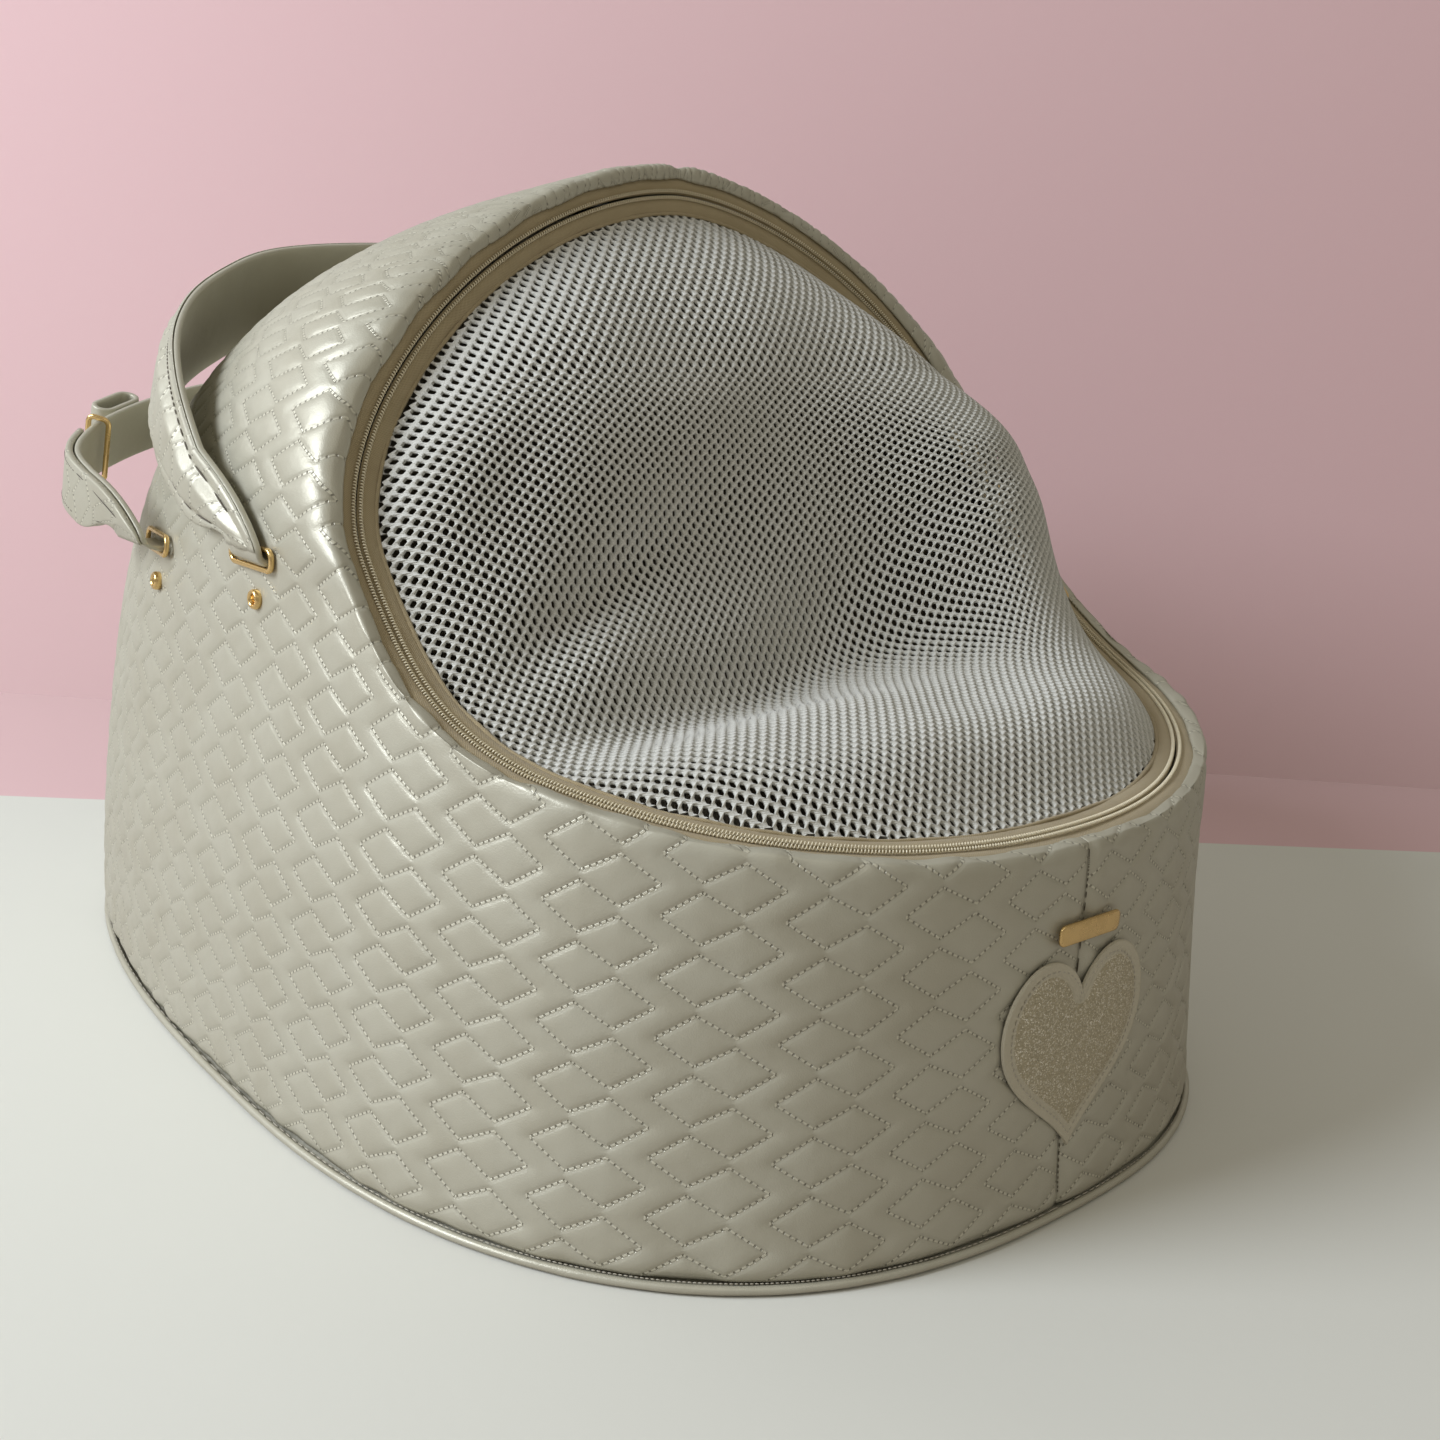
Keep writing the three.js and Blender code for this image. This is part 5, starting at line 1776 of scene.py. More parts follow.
def arch_line(points: Array, count: int) -> Array:
    """A smooth line through points, evenly resampled.

    Args:
        points: The places it passes through.
        count: How many points to return.

    Returns:
        The line's points.
    """
    ends = np.concatenate([[2 * points[0] - points[1]], points, [2 * points[-1] - points[-2]]])
    gaps = np.sqrt(np.linalg.norm(np.diff(ends, axis=0), axis=1))
    share = np.linspace(0, 1, 24, endpoint=False)[:, None]
    parts = []
    for k in range(1, len(ends) - 2):
        a, b, c, d = ends[k - 1:k + 3]
        g0, g1, g2 = gaps[k - 1:k + 2]
        first = ((b - a) / g0 - (c - a) / (g0 + g1) + (c - b) / g1) * g1
        last = ((c - b) / g1 - (d - b) / (g1 + g2) + (d - c) / g2) * g1
        parts.append(
            b + first * share + (3 * (c - b) - 2 * first - last) * share**2
            + (2 * (b - c) + first + last) * share**3
        )
    return spaced(np.concatenate([*parts, points[-1:]]), count)


@dataclass
class WallSeat:
    """A place on the side wall, with its outward direction and the wall's own axes."""

    side: Side
    y: float
    z: float
    point: Array = field(init=False)
    normal: Array = field(init=False)

    def __post_init__(self) -> None:
        """Find the place on the wall."""
        wanted = np.array([self.y, self.z])
        t, v = FORM.find(
            lambda at: wanted - at[:, 1:], np.array([math.pi / 2]), np.array([0.5]), (2.5, 2.5)
        )
        mirror = np.array([self.side.value, 1, 1])
        self.point = FORM.wall(t, v)[0] * mirror
        self.normal = FORM.wall_normal(t, v)[0] * mirror

    @property
    def lengthways(self) -> Array:
        """The level direction along the wall."""
        return unit(np.cross(UP, self.normal))

    @property
    def upwards(self) -> Array:
        """The direction up the wall."""
        return np.cross(self.normal, self.lengthways)


@dataclass
class StrapArch:
    """A strap that arches over the cot between two slots in the side walls.

    Its sections are given as (across, out): across runs from -1 to 1 over its width.
    """

    body: str
    y: float
    z: float
    tilt: float
    rise: float
    shares: tuple[tuple[float, float], ...]
    width: float
    bend_reach: float
    end_width: float = 23 * MM
    taper: float = 0.17
    leg_start: float = 12.5 * MM
    stand_off: float = 6.5 * MM
    join: float = 30 * MM
    stations: int = 300
    wall_depth: float = 4 * MM
    curl_steps: int = 5
    curl_share: float = 0.8
    curl_drop: float = 1.2 * MM
    curl_rise: float = 4 * MM
    leg_rows: int = 14
    leg_launch: tuple[float, float, float] = (0.0, 8.4 * MM, 22.56 * MM)

    def __post_init__(self) -> None:
        """Work out the arch's stations."""
        tilt = math.radians(self.tilt)
        self.back = np.array([0, math.cos(tilt), math.sin(tilt)])
        self.above = np.array([0, -math.sin(tilt), math.cos(tilt)])
        self.seat = WallSeat(Side.RIGHT, self.y, self.z)
        self.leg = self.seat.point[0] + self.stand_off
        pivot = np.array([0, self.y, self.z])
        left = [
            pivot + self.back * (self.leg_start + (self.rise - self.leg_start) * r)
            - [self.leg * x, 0, 0]
            for x, r in self.shares
        ]
        right = [p * MIRROR for p in left[-2::-1]]
        self.line = arch_line(np.array(left + right), self.stations + 1)
        tangent = unit(np.gradient(self.line, axis=0))
        side = unit(self.above - tangent * (tangent @ self.above)[:, None])
        self.tangent, self.side, self.out = tangent, side, np.cross(side, tangent)
        self.share = np.linspace(0, 1, self.stations + 1)
        spread = smoothstep(np.minimum(self.share, 1 - self.share), 0, self.taper)
        half_width = (self.end_width + (self.width - self.end_width) * spread) / 2
        self.half = half_width[:, None] * side

    def blend(self, piece: bpy.types.Object) -> None:
        """Bake a piece's placing into its mesh."""
        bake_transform(piece)

    def full(self, reach_in: float) -> Frames:
        """Stations from slot to slot, the legs leaning over on their way out.

        Args:
            reach_in: How far the ends go into the wall.

        Returns:
            The frames, whose across directions hold half the strap's width.
        """
        length = run_length(self.line)
        keep = (length > self.join) & (length < length[-1] - self.join)
        first = np.argmax(keep)
        mouth = np.array([-self.seat.point[0], self.y, self.z])
        bend = np.linspace(0, math.pi / 2, self.curl_steps)[:, None]
        leg = (self.line[first, 0] - mouth[0]) * self.curl_share
        rise = (1 - np.cos(bend)) * self.curl_rise - self.curl_drop
        curl = mouth + np.concatenate([np.sin(bend) * leg, 0 * bend, rise], 1)
        u = np.linspace(0, 1, self.leg_rows, endpoint=False)[:, None]
        path = (
            (1 + 2 * u) * (1 - u) ** 2 * curl[-1:] + u * (1 - u) ** 2 * np.array(self.leg_launch)
            + u * u * (3 - 2 * u) * self.line[first] + u * u * (u - 1) * self.back * self.join
        )
        flat = np.array([0, -self.end_width / 2, 0])
        lean = smoothstep(u[1:], 0, 1)
        turning = unit(flat * (1 - lean) + self.half[first] * lean)
        width = self.end_width / 2 * (1 - lean) + np.linalg.norm(self.half[first]) * lean
        across = np.concatenate([np.tile(flat, (self.curl_steps + 1, 1)), turning * width])
        point = np.concatenate([mouth + [[reach_in, 0, -self.curl_drop]], curl, path[1:]])
        turn = np.concatenate([[[0.0]], np.sin(bend), 0 * u[1:] + 1])
        out = unit(-np.array([UP]) * (1 - turn) + self.out[first] * turn)
        return Frames(*(
            np.concatenate([end, middle[keep], (end * MIRROR)[::-1]])
            for end, middle in ((point, self.line), (across, self.half), (out, self.out))
        ))

    def leg_frames(self, side: Side, skip: int, share: float) -> Frames:
        """One leg's stations, from just outside its slot up to a share of the arch.

        Args:
            side: Which leg.
            skip: How many stations to leave out at the slot.
            share: Where to stop.

        Returns:
            The frames.
        """
        frames = self.full(0.0)
        count = len(frames.point)
        last = count // 2 - self.stations // 2 + round(share * self.stations)
        pick = np.arange(skip, last + 1)
        return frames.part(pick if side is Side.LEFT else (count - 1 - pick)[::-1])

    def between(self, start: float, end: float) -> Frames:
        """The stations between two shares of the arch, across scaled to half the width."""
        keep = (self.share >= start) & (self.share <= end)
        return Frames(self.line[keep], self.half[keep], self.out[keep])


STRAP_SIDES = 24


def soft_strap(power: float, thick: float, base: float) -> Array:
    """A strap's section with rounded edges, as (share across, out).

    Args:
        power: How square its corners are.
        thick: Its thickness.
        base: How far out its inner face lies.

    Returns:
        The section.
    """
    return oval_section(2.0, thick, power, STRAP_SIDES + 1) + [0, base + thick / 2]


@dataclass
class CarryHandle:
    """The padded, leaf-legged carry handle."""

    arch: StrapArch = field(default_factory=lambda: StrapArch(
        "handle", *SLOTS["handle"], 28.5, 188 * MM,
        ((1, 0), (0.99, 0.2), (0.96, 0.4), (0.91, 0.55), (0.82, 0.7),
         (0.7, 0.82), (0.57, 0.91), (0.36, 0.97), (0, 1)), 44 * MM, 22 * MM,
    ))
    backing: float = 2.9 * MM
    margin: float = 5.2 * MM
    pad_low: float = 1.5 * MM
    margin_height: float = 1.3 * MM
    margin_round: float = 1.6 * MM
    pad_height: float = 2.3 * MM
    pad_slope: float = 5 * MM
    pad_inset: float = 0.985
    pad_relief: float = 0.8
    pad_fill: float = 0.6
    valley_depth: float = 0.7 * MM
    valley_width: float = 0.9 * MM
    under: tuple[tuple[float, float], ...] = (
        (-1.0, 0.25), (-0.985, 0.0), (-0.5, 0.0), (0.0, 0.0), (0.5, 0.0), (0.985, 0.0),
        (1.0, 0.25),
    )
    sides: int = 40
    end_skip: int = 5
    end_height: float = 0.25
    end_fade: int = 7
    thread_sink: float = 0.15 * MM

    def pad_shape(self, frames: Frames) -> tuple[Placing, Placing]:
        """The pad's section and its chart.

        Args:
            frames: The pad's stations.

        Returns:
            The section, a flat margin, a sewn valley and a quilted middle, and the chart of
            its cloth laid flat.
        """
        top = np.linspace(1, -1, self.sides - len(self.under))
        edge = np.array(self.under)
        half = np.linalg.norm(frames.across, axis=1)
        length = frames.length

        def chart(i: Array, j: Array) -> Array:
            """The pad's cloth laid flat, as its quilting has it."""
            across = top[np.minimum(j, len(top) - 1)] * half[i] + 0.5 * QUILT.pitch
            return np.stack([across, length[i]], axis=1)

        def section(i: Array, j: Array) -> Array:
            """Points of the section at stations i."""
            j = j % self.sides
            a = top[np.minimum(j, len(top) - 1)]
            inner = half[i] - np.abs(a) * half[i]
            rim = self.margin_height * np.sqrt(np.clip(inner / self.margin_round, 0, 1))
            middle = smoothstep(inner, self.margin, self.margin + self.pad_slope)
            relief = QUILT.relief(chart(i, j)) * middle * self.pad_relief
            valley = self.valley_depth * hump(inner - self.margin, self.valley_width)
            height = np.maximum(rim + self.pad_height * middle + relief - valley, 0)
            low = edge[np.maximum(j - len(top), 0)]
            across = np.where(j < len(top), a, low[:, 0])
            up = np.where(j < len(top), height, low[:, 1] * self.margin_height)
            from_end = smoothstep(np.minimum(i, len(length) - 1 - i), 0, self.end_fade)
            fade = self.end_height + (1 - self.end_height) * from_end
            return np.stack([across * self.pad_inset, self.pad_low + up * fade], 1)

        return section, chart

    def make(self, shop: Workshop) -> None:
        """Make the backing, the pad and its top stitching."""
        arch, skip = self.arch, self.end_skip
        frames = arch.full(arch.wall_depth)
        section = soft_strap(7, self.backing, -self.backing / 2)
        band = swept("handle_band", frames, section, STRAP_SIDES)
        shop.dress(band, Slot.PLAIN, None, "handle_backing", "handle_end_left",
                   "handle_end_right")
        inner = frames.part(slice(skip, -skip))
        shape, chart = self.pad_shape(inner)
        pad = Formed("handle_quilted_pad", len(inner.point) - 1, self.sides,
                     lambda i, j: inner.at(i, shape(i, j)), chart, True).make()
        shop.dress(pad, Slot.PEARL, None, "handle_pad")
        keep = np.arange(skip, len(inner.point) - skip)
        half = np.linalg.norm(inner.across[keep], axis=1)
        up = np.full(len(keep), self.pad_low + self.margin_height - self.thread_sink)
        lines = []
        for sign in (-1, 1):
            share = sign * (half - self.margin) / half * self.pad_inset
            lines.append((inner.at(keep, np.stack([share, up], axis=1)), inner.above[keep]))
        threads = StitchRun(pitch=3.3 * MM, thread=0.75 * MM).lay("handle_top_stitches", lines)
        shop.dress(threads, Slot.PLAIN, None, material=shop.dark_thread)
        for piece in (band, pad, threads):
            arch.blend(piece)


@dataclass
class AdjustableStrap:
    """The narrower rear strap, with folded tabs, rolled tails and sliding rings."""

    arch: StrapArch = field(default_factory=lambda: StrapArch(
        "strap", *SLOTS["strap"], 20, 136 * MM,
        ((1, 0), (1.04, 0.2), (1.04, 0.36), (0.97, 0.52), (0.86, 0.66),
         (0.73, 0.78), (0.58, 0.88), (0.38, 0.95), (0, 1)), 24 * MM, 16 * MM,
    ))
    thick: float = 2.6 * MM
    gap: float = 0.3 * MM
    stitch_share: float = 0.74
    stitch_lift: float = 0.4 * MM
    tab_skip: int = 4
    tab_end: float = 0.128
    tab_puff: float = 0.5 * MM
    tab_root: float = 0.35
    tab_fade: int = 5
    loop_share: float = 0.195
    loop_length: float = 26 * MM
    loop_depth: float = 11 * MM
    loop_points: int = 73
    loop_thin: float = 0.92
    stitched: tuple[float, float] = (0.25, 0.75)
    ring_share: float = 0.147
    ring_half: tuple[float, float] = (13.7 * MM, 4.3 * MM)
    ring_corner: float = 2.6 * MM
    wire: float = 2.2 * MM

    def station(self, share: float, side: Side) -> int:
        """The index of a share of the arch, counted from one side's leg."""
        u = share if side is Side.LEFT else 1 - share
        return int(round(u * self.arch.stations))

    def edge_stitches(self, name: str, frames: Frames, out: float, body: str | None,
                      shop: Workshop) -> None:
        """Two rows of stitches just inside a strap's edges."""
        keep = np.arange(len(frames.point))
        lines = [
            (frames.at(keep, np.tile([share, out], (len(keep), 1))), frames.above)
            for share in (-self.stitch_share, self.stitch_share)
        ]
        piece = StitchRun(pitch=3.3 * MM, thread=0.6 * MM).lay(name, lines)
        shop.dress(piece, Slot.PLAIN, body, material=shop.dark_thread)
        if body is None:
            self.arch.blend(piece)

    def tab(self, side: Side, shop: Workshop) -> None:
        """The folded tab that holds the ring, flatter near the slot."""
        frames = self.arch.leg_frames(side, self.tab_skip, self.tab_end)
        count = len(frames.point)
        from_slot = np.arange(count) if side is Side.LEFT else np.arange(count)[::-1]
        swelling = self.tab_root + (1 - self.tab_root) * smoothstep(from_slot, 0, self.tab_fade)
        section = soft_strap(8, self.thick, self.thick / 2 + self.gap)
        puff = self.tab_puff * np.sin(np.linspace(0, math.pi, count))

        def shaped(i: Array, j: Array) -> Array:
            """The section, a little fuller in the middle of the tab."""
            across, out = section[j].T
            lift = np.where(out > self.thick, puff[i], 0)
            height = (out - self.thick / 2) * swelling[i] + self.thick / 2
            return np.stack([across, height + lift], axis=1)

        piece = swept(f"tab_{side.label}_folded", frames, shaped, STRAP_SIDES)
        shop.dress(piece, Slot.PEARL, None, f"strap_tab_{side.label}")
        self.arch.blend(piece)
        self.edge_stitches(f"tab_{side.label}_stitches", frames.part(slice(4, -4)),
                           self.thick * 1.5 + self.gap + self.stitch_lift, None, shop)

    def loop(self, side: Side, shop: Workshop) -> None:
        """The strap's rolled tail: a closed loop that stands on its outside."""
        at = self.station(self.loop_share, side)
        along, out, across = self.arch.tangent[at], self.arch.out[at], self.arch.side[at]
        radius = (self.loop_depth - self.thick) / 2
        run = (self.loop_length - self.loop_depth) / 2
        angle = np.linspace(-math.pi / 2, math.pi / 2, 14)
        right = np.stack([run + radius * np.cos(angle), radius * np.sin(angle)], axis=1)
        track = spaced(np.concatenate([right, -right, right[:1]]), self.loop_points)
        lift = self.thick / 2 + self.gap + self.loop_depth / 2
        point = self.arch.line[at] + along * track[:, :1] + out * (track[:, 1:] + lift)
        ahead = unit(np.gradient(np.concatenate([track[-2:-1], track, track[1:2]]), axis=0)[1:-1])
        normal = along * ahead[:, 1:] - out * ahead[:, :1]
        frames = Frames(point, np.tile(across * self.arch.width / 2, (len(point), 1)), normal)
        section = soft_strap(8, self.thick * self.loop_thin, -self.thick / 2)
        piece = swept(f"loop_{side.label}_rolled", frames, section, STRAP_SIDES, False)
        shop.dress(piece, Slot.PLAIN, "strap", f"strap_loop_{side.label}")

    def ring(self, side: Side, shop: Workshop) -> None:
        """A gold wire ring round the strap."""
        at = self.station(self.ring_share, side)
        frames = wire_ring(
            self.arch.line[at], (self.arch.side[at], self.arch.out[at]), self.arch.tangent[at],
            rounded_track(*self.ring_half, self.ring_corner, 12),
        )
        section = oval_section(self.wire, self.wire, 2.2, 13)
        piece = swept(f"ring_{side.label}_wire", frames, section, 12, False)
        shop.dress(piece, Slot.GOLD, f"ring_{side.label}", f"adjuster_ring_{side.label}")

    def make(self, shop: Workshop) -> None:
        """Make the strap, its tabs, loops and rings."""
        frames = self.arch.full(self.arch.wall_depth)
        section = soft_strap(8, self.thick, -self.thick / 2)
        band = swept("rear_strap_band", frames, section, STRAP_SIDES)
        shop.dress(band, Slot.PLAIN, None, "adjustable_strap", "strap_end_left",
                   "strap_end_right")
        self.arch.blend(band)
        self.edge_stitches("rear_strap_stitches", self.arch.between(*self.stitched),
                           self.thick / 2, "strap", shop)
        for side in Side:
            self.tab(side, shop)
            self.loop(side, shop)
            self.ring(side, shop)


def rounded_track(half_width: float, half_height: float, corner: float, steps: int) -> Array:
    """A rounded rectangle's line, closed, as flat points."""
    angle = np.linspace(0, math.pi / 2, steps)
    w, h = half_width - corner, half_height - corner
    parts = []
    for k, (x, y) in enumerate(((w, h), (-w, h), (-w, -h), (w, -h))):
        turn = angle + k * math.pi / 2
        parts.append(np.stack([x + corner * np.cos(turn), y + corner * np.sin(turn)], axis=1))
    return np.concatenate([*parts, parts[0][:1]])


def wire_ring(centre: Array, flat: tuple[Array, Array], axis: Array, track: Array) -> Frames:
    """Frames round a closed flat wire.

    Args:
        centre: Its middle.
        flat: The two directions that it lies in.
        axis: The direction square to it.
        track: Its line in those two directions.

    Returns:
        The frames.
    """
    points = centre + flat[0] * track[:, :1] + flat[1] * track[:, 1:]
    padded = np.concatenate([points[-2:-1], points, points[1:2]])
    tangent = unit(padded[2:] - padded[:-2])
    axes = np.tile(unit(axis), (len(points), 1))
    return Frames(points, unit(np.cross(tangent, axes)), axes)


@dataclass
class Fittings:
    """Slot frames, rivets, sliders and pulls, all gold plated."""

    frame_half: tuple[float, float] = (14.4 * MM, 3.5 * MM)
    frame_corner: float = 2.9 * MM
    frame_wire: float = 1.9 * MM
    frame_stand: float = 1.8 * MM
    rivet_drop: float = 15 * MM
    rivet_radius: float = 3.6 * MM
    rivet_height: float = 1.5 * MM
    rivet_stand: float = 1.15 * MM
    rivet_steps: int = 28
    rivet_profile: tuple[tuple[float, float], ...] = (
        (0.0, -1.0), (0.4, -1.0), (0.45, -0.3), (0.5, 0.55), (0.61, 0.92), (0.74, 1.0),
        (0.88, 0.8), (0.98, 0.3), (0.99, -0.9), (0.6, -1.1), (0.0, -1.1),
    )
    soft_edge: float = 0.35 * MM
    edge_angles: tuple[float, float] = (math.radians(40), math.radians(35))

    def slot_frame(self, kind: str, seat: WallSeat, shop: Workshop) -> None:
        """A rounded wire frame round a slot."""
        frames = wire_ring(
            seat.point + seat.normal * self.frame_stand, (seat.lengthways, seat.upwards),
            seat.normal, rounded_track(*self.frame_half, self.frame_corner, 12),
        )
        section = oval_section(self.frame_wire, self.frame_wire, 2.6, 15)
        name = f"{kind}_slot_frame_{seat.side.label}"
        piece = swept(f"{name}_wire", frames, section, 14, False)
        shop.dress(piece, Slot.GOLD, "shell", name)

    def rivet(self, kind: str, seat: WallSeat, shop: Workshop) -> None:
        """A dished eyelet rivet, spun from its profile."""
        bm = bmesh.new()
        verts = [
            bm.verts.new((r * self.rivet_radius, 0, h * self.rivet_height))
            for r, h in self.rivet_profile
        ]
        edges = [bm.edges.new(pair) for pair in zip(verts, verts[1:])]
        bmesh.ops.spin(bm, geom=verts + edges, cent=(0, 0, 0), axis=UP, dvec=(0, 0, 0),
                       angle=TURN, steps=self.rivet_steps, use_merge=True)
        bmesh.ops.remove_doubles(bm, verts=bm.verts[:], dist=1e-6)
        bmesh.ops.recalc_face_normals(bm, faces=bm.faces[:])
        basis = Matrix((seat.lengthways, seat.upwards, seat.normal)).transposed().to_4x4()
        place = Matrix.Translation(Vector(seat.point + seat.normal * self.rivet_stand)) @ basis
        bmesh.ops.transform(bm, matrix=place, verts=bm.verts[:])
        name = f"{kind}_rivet_{seat.side.label}"
        shop.dress(place_object(f"{name}_head", bm), Slot.GOLD, "shell", name)

    def make(self, shop: Workshop) -> None:
        """Make every fitting."""
        for kind, (y, z) in SLOTS.items():
            for side in Side:
                self.slot_frame(kind, WallSeat(side, y, z), shop)
                self.rivet(kind, WallSeat(side, y, z - self.rivet_drop), shop)
        for label in ("lower", "upper"):
            for kind, body in (("zip_slider", "slider"), ("zip_pull", "pull")):
                node = f"{kind}_{label}"
                piece = softened_copy(f"{node}_cast", shop.nodes[node], self.soft_edge,
                                      *self.edge_angles)
                shop.dress(piece, Slot.GOLD, f"{body}_{label}", node)


# ---------------------------------------------------------------------------
# Front trim
# ---------------------------------------------------------------------------


@dataclass
class FrontTrim:
    """The glitter heart and the plain gold plate above it."""

    width: float = 70 * MM
    height: float = 68 * MM
    tip_z: float = 26 * MM
    lobes: tuple[float, ...] = (13, -3.5, -2, -1)
    wave_low: float = 15.5
    wave_span: float = 27.2
    lobe_power: float = 2.5
    middle_share: float = 0.55
    thick: float = 1.1 * MM
    stand_off: float = 0.6 * MM
    border: float = 3.7 * MM
    dome: float = 0.9 * MM
    dome_slope: float = 6 * MM
    valley_depth: float = 0.45 * MM
    valley_width: float = 0.7 * MM
    outline_points: int = 120
    plate_half: tuple[float, float] = (15 * MM, 3.5 * MM)
    plate_corner: float = 2.2 * MM
    plate_gap: float = 5 * MM
    plate_thick: float = 1.2 * MM
    plate_stand: float = 1.3 * MM
    probe: float = 0.04
    turn_per_metre: float = 5.0
    first_height: float = 0.4
    find_gain: tuple[float, float] = (2.0, 4.0)
    thread_width: float = 0.52
    thread_height: float = 0.9

    def on_wall(self, flat: Array, height: Array | float) -> Array:
        """Points over the front wall at given x and z."""
        x = flat[:, 0]
        first = x * self.turn_per_metre, np.full_like(x, self.first_height)
        t, v = FORM.find(lambda at: flat - at[:, ::2], *first, self.find_gain)
        around = FORM.wall(t + self.probe, v) - FORM.wall(t - self.probe, v)
        rise = FORM.wall(t, v + self.probe) - FORM.wall(t, v - self.probe)
        return FORM.wall(t, v) + unit(np.cross(around, rise)) * np.asarray(height)[..., None]

    def heart(self) -> Array:
        """The heart's outline, as x and z on the wall."""
        a = np.linspace(0, TURN, self.outline_points + 1)
        x = signed_power(np.sin(a), self.lobe_power) * self.width / 2
        wave = sum(size * np.cos((k + 1) * a) for k, size in enumerate(self.lobes))
        up = (wave + self.wave_low) / self.wave_span * self.height
        return spaced(np.stack([x, up], axis=1), self.outline_points + 1) + [0, self.tip_z]

    def patch(self, shop: Workshop) -> None:
        """The heart patch: a flat sewn border round a slightly domed middle."""
        outline = self.heart()
        centre = np.array([0, self.height * self.middle_share + self.tip_z])
        shares = np.concatenate([[1.0, 1.0], np.linspace(0.985, 0, 26)])
        count = self.outline_points

        def flat(i: Array, j: Array) -> Array:
            """Places on the patch laid flat."""
            return centre + (outline[i % count] - centre) * shares[j][:, None]

        def edge_gap(i: Array, j: Array) -> Array:
            """The distance in from the patch's outline."""
            return polyline_distance(flat(i, j), outline)

        def place(i: Array, j: Array) -> Array:
            """Places on the wall."""
            gap = edge_gap(i, j)
            dome = self.dome * smoothstep(gap, self.border, self.border + self.dome_slope)
            valley = self.valley_depth * hump(gap - self.border, self.valley_width)
            height = np.where(j == 0, 0.0, self.thick + dome - valley) + self.stand_off
            return self.on_wall(flat(i, j), height)

        piece = Formed("heart_glitter_patch", count, len(shares) - 1, place,
                       attribute=("edge_gap", edge_gap)).make()
        shop.dress(piece, Slot.GLITTER, "shell", "heart_patch")
        inset = 1 - self.border / (self.width * self.thread_width)
        line = self.on_wall(centre + (outline - centre) * inset,
                            np.full(len(outline), self.stand_off + self.thick * self.thread_height))
        outwards = np.tile([0.0, -1.0, 0.0], (len(line), 1))
        threads = StitchRun(pitch=2.4 * MM, thread=0.6 * MM).lay(
            "heart_border_stitches", [(line, outwards)]
        )
        shop.dress(threads, Slot.GLITTER, "shell", material=shop.thread)

    def plate(self, shop: Workshop) -> None:
        """The blank plate, a rounded bar that follows the wall."""
        centre = np.array([0, self.tip_z + self.height + self.plate_gap + self.plate_half[1]])
        track = rounded_track(*self.plate_half, self.plate_corner, 8)
        profile = [(0, 0), (0.6, 0), (0.97, 0), (1, 0.2), (1, 0.75), (0.97, 0.95), (0.9, 1),
                   (0.5, 1), (0, 1)]
        shares, heights = np.array(profile).T
        count = len(track) - 1

        def place(i: Array, j: Array) -> Array:
            """Points of the plate over the wall."""
            flat = centre + track[i % count] * shares[j][:, None]
            return self.on_wall(flat, heights[j] * self.plate_thick + self.plate_stand)

        piece = Formed("front_plate_blank", count, len(profile) - 1, place).make()
        shop.dress(piece, Slot.GOLD, "shell", "plain_plate")

    def make(self, shop: Workshop) -> None:
        """Make the patch and the plate."""
        self.patch(shop)
        self.plate(shop)


# ---------------------------------------------------------------------------
# Stage
# ---------------------------------------------------------------------------


@dataclass(frozen=True)
class SoftLamp:
    """A large soft light aimed at the cot."""

    name: str
    place: tuple[float, float, float]
    size: float
    power: float
    tint: Colour
    target: tuple[float, float, float] = (0.0, 0.0, 0.15)

    def make(self) -> None:
        """Hang the lamp."""
        light = bpy.data.lights.new(self.name, "AREA")
        light.shape, light.size = "DISK", self.size
        light.energy, light.color = self.power, self.tint
        lamp = bpy.data.objects.new(self.name, light)
        lamp.location = self.place
        aim = Vector(self.target) - Vector(self.place)
        lamp.rotation_euler = aim.to_track_quat("-Z", "Y").to_euler()
        bpy.context.scene.collection.objects.link(lamp)


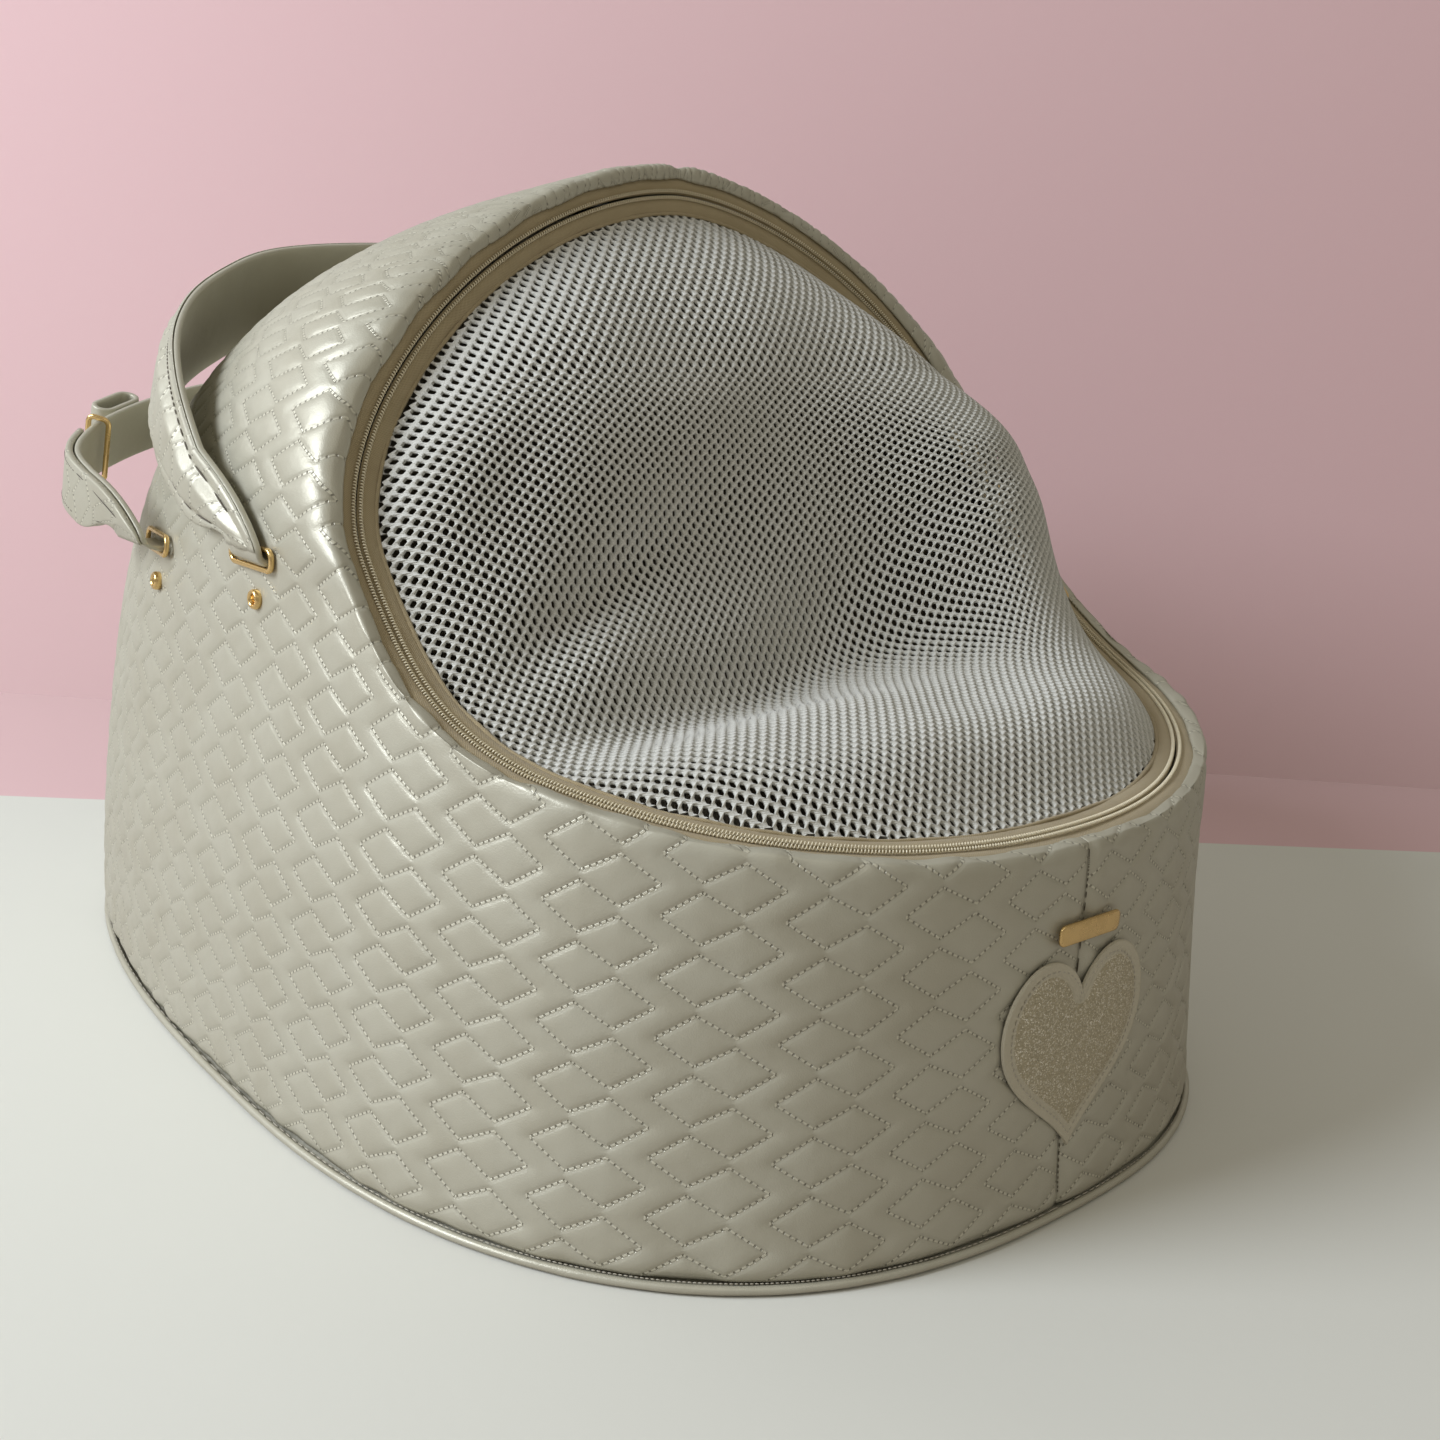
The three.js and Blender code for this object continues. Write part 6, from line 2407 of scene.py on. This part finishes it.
@dataclass
class Stage:
    """Camera, soft light, pale table and wall."""

    camera_place: tuple[float, float, float] = (-0.3959, -0.5496, 0.2880)
    azimuth: float = -40.64
    elevation: float = 14.85
    roll: float = 3.04
    lens: float = 39.4
    table_drop: float = 0.4 * MM
    plane_size: float = 6.0
    wall_distance: float = 0.36
    wall_turn: float = -3.0
    floor_edge: float = 178.0
    edge_heading: float = 51.8
    pale: Colour = srgb(224, 224, 215)
    pink: Colour = srgb(226, 189, 191)
    bounce: Colour = srgb(190, 184, 176)
    lamps: tuple[SoftLamp, ...] = (
        SoftLamp("window", (-1.8, 0.5, 1.3), 1.1, 43.0, (0.93, 0.99, 1.1)),
        SoftLamp("sky_fill", (-0.5, -1.6, 2.0), 1.8, 4.0, (1.0, 0.95, 0.84)),
        SoftLamp("back_glow", (0.5, 1.2, 1.7), 1.2, 8.0, (1.0, 0.99, 0.96)),
    )
    world_tint: Colour = (1.0, 0.94, 0.82)
    world_strength: float = 0.33

    def axes(self) -> tuple[Vector, Vector, Vector]:
        """The camera's right, up and backward directions."""
        a, e, r = (math.radians(x) for x in (self.azimuth, self.elevation, self.roll))
        back = Vector((math.sin(a) * math.cos(e), -math.cos(a) * math.cos(e), math.sin(e)))
        right = (-back).cross(Vector(UP)).normalized()
        up = right.cross(-back)
        return right * math.cos(r) + up * math.sin(r), up * math.cos(r) - right * math.sin(r), back

    def camera(self) -> None:
        """Place the camera."""
        data = bpy.data.cameras.new("camera")
        data.lens, data.sensor_width, data.clip_start = self.lens, 36.0, 0.01
        camera = bpy.data.objects.new("camera", data)
        turn = Matrix(self.axes()).transposed().to_4x4()
        camera.matrix_world = Matrix.Translation(self.camera_place) @ turn
        bpy.context.scene.collection.objects.link(camera)
        bpy.context.scene.camera = camera

    def plane(self, name: str, near: Colour, far: Colour, matrix: Matrix) -> None:
        """A large plain surface of the stage, of one colour up to the edge and one beyond."""
        bm = bmesh.new()
        bmesh.ops.create_grid(
            bm, x_segments=1, y_segments=1, size=self.plane_size, matrix=matrix
        )
        plane = place_object(name, bm, smooth=False)
        craft = Craft(f"{name}_paint")
        place = craft.object_place()
        speck = craft.noise(place, 4.0, 4.0)
        heading = math.radians(self.edge_heading)
        ahead = craft.vector("DOT_PRODUCT", place, (math.cos(heading), math.sin(heading), 0.0))
        beyond = craft.span(ahead.outputs["Value"], self.floor_edge, self.floor_edge + 1.0)
        seen = craft.node("LightPath").outputs["Is Camera Ray"]
        tone = craft.blend(seen, self.bounce, craft.blend(beyond, near, far))
        craft.set(Base_Color=craft.blend(craft.math("MULTIPLY", speck, 0.05), tone, self.pale),
                  Roughness=0.75, Normal=craft.bump(speck, 0.05))
        plane.data.materials.append(craft.material)

    def room(self) -> None:
        """Light the room evenly from all round."""
        world = bpy.data.worlds.new("room")
        bpy.context.scene.world = world
        world.use_nodes = True
        background = world.node_tree.nodes["Background"]
        background.inputs["Color"].default_value = (*self.world_tint, 1.0)
        background.inputs["Strength"].default_value = self.world_strength

    def make(self) -> None:
        """Set the stage."""
        self.camera()
        self.plane("table", self.pale, self.pink, Matrix.Translation((0, 0, -self.table_drop)))
        _, _, back = self.axes()
        away = Vector((-back.x, -back.y, 0)).normalized()
        away = Matrix.Rotation(math.radians(self.wall_turn), 3, "Z") @ away
        turn = (-away).to_track_quat("Z", "Y").to_matrix().to_4x4()
        self.plane("backdrop", self.pink, self.pink,
                   Matrix.Translation(away * self.wall_distance) @ turn)
        for lamp in self.lamps:
            lamp.make()
        self.room()
        bpy.context.scene.view_settings.view_transform = "Standard"


def main() -> None:
    """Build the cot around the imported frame."""
    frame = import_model()
    Stage().make()
    shop = Workshop(frame["nodes"])
    for assembly in (QuiltedShell(), Underside(), Interior(), Zip(), MeshCover(),
                     CarryHandle(), AdjustableStrap(), Fittings(), FrontTrim()):
        assembly.make(shop)
        log.info("%s made", type(assembly).__name__)


if __name__ == "__main__":
    main()
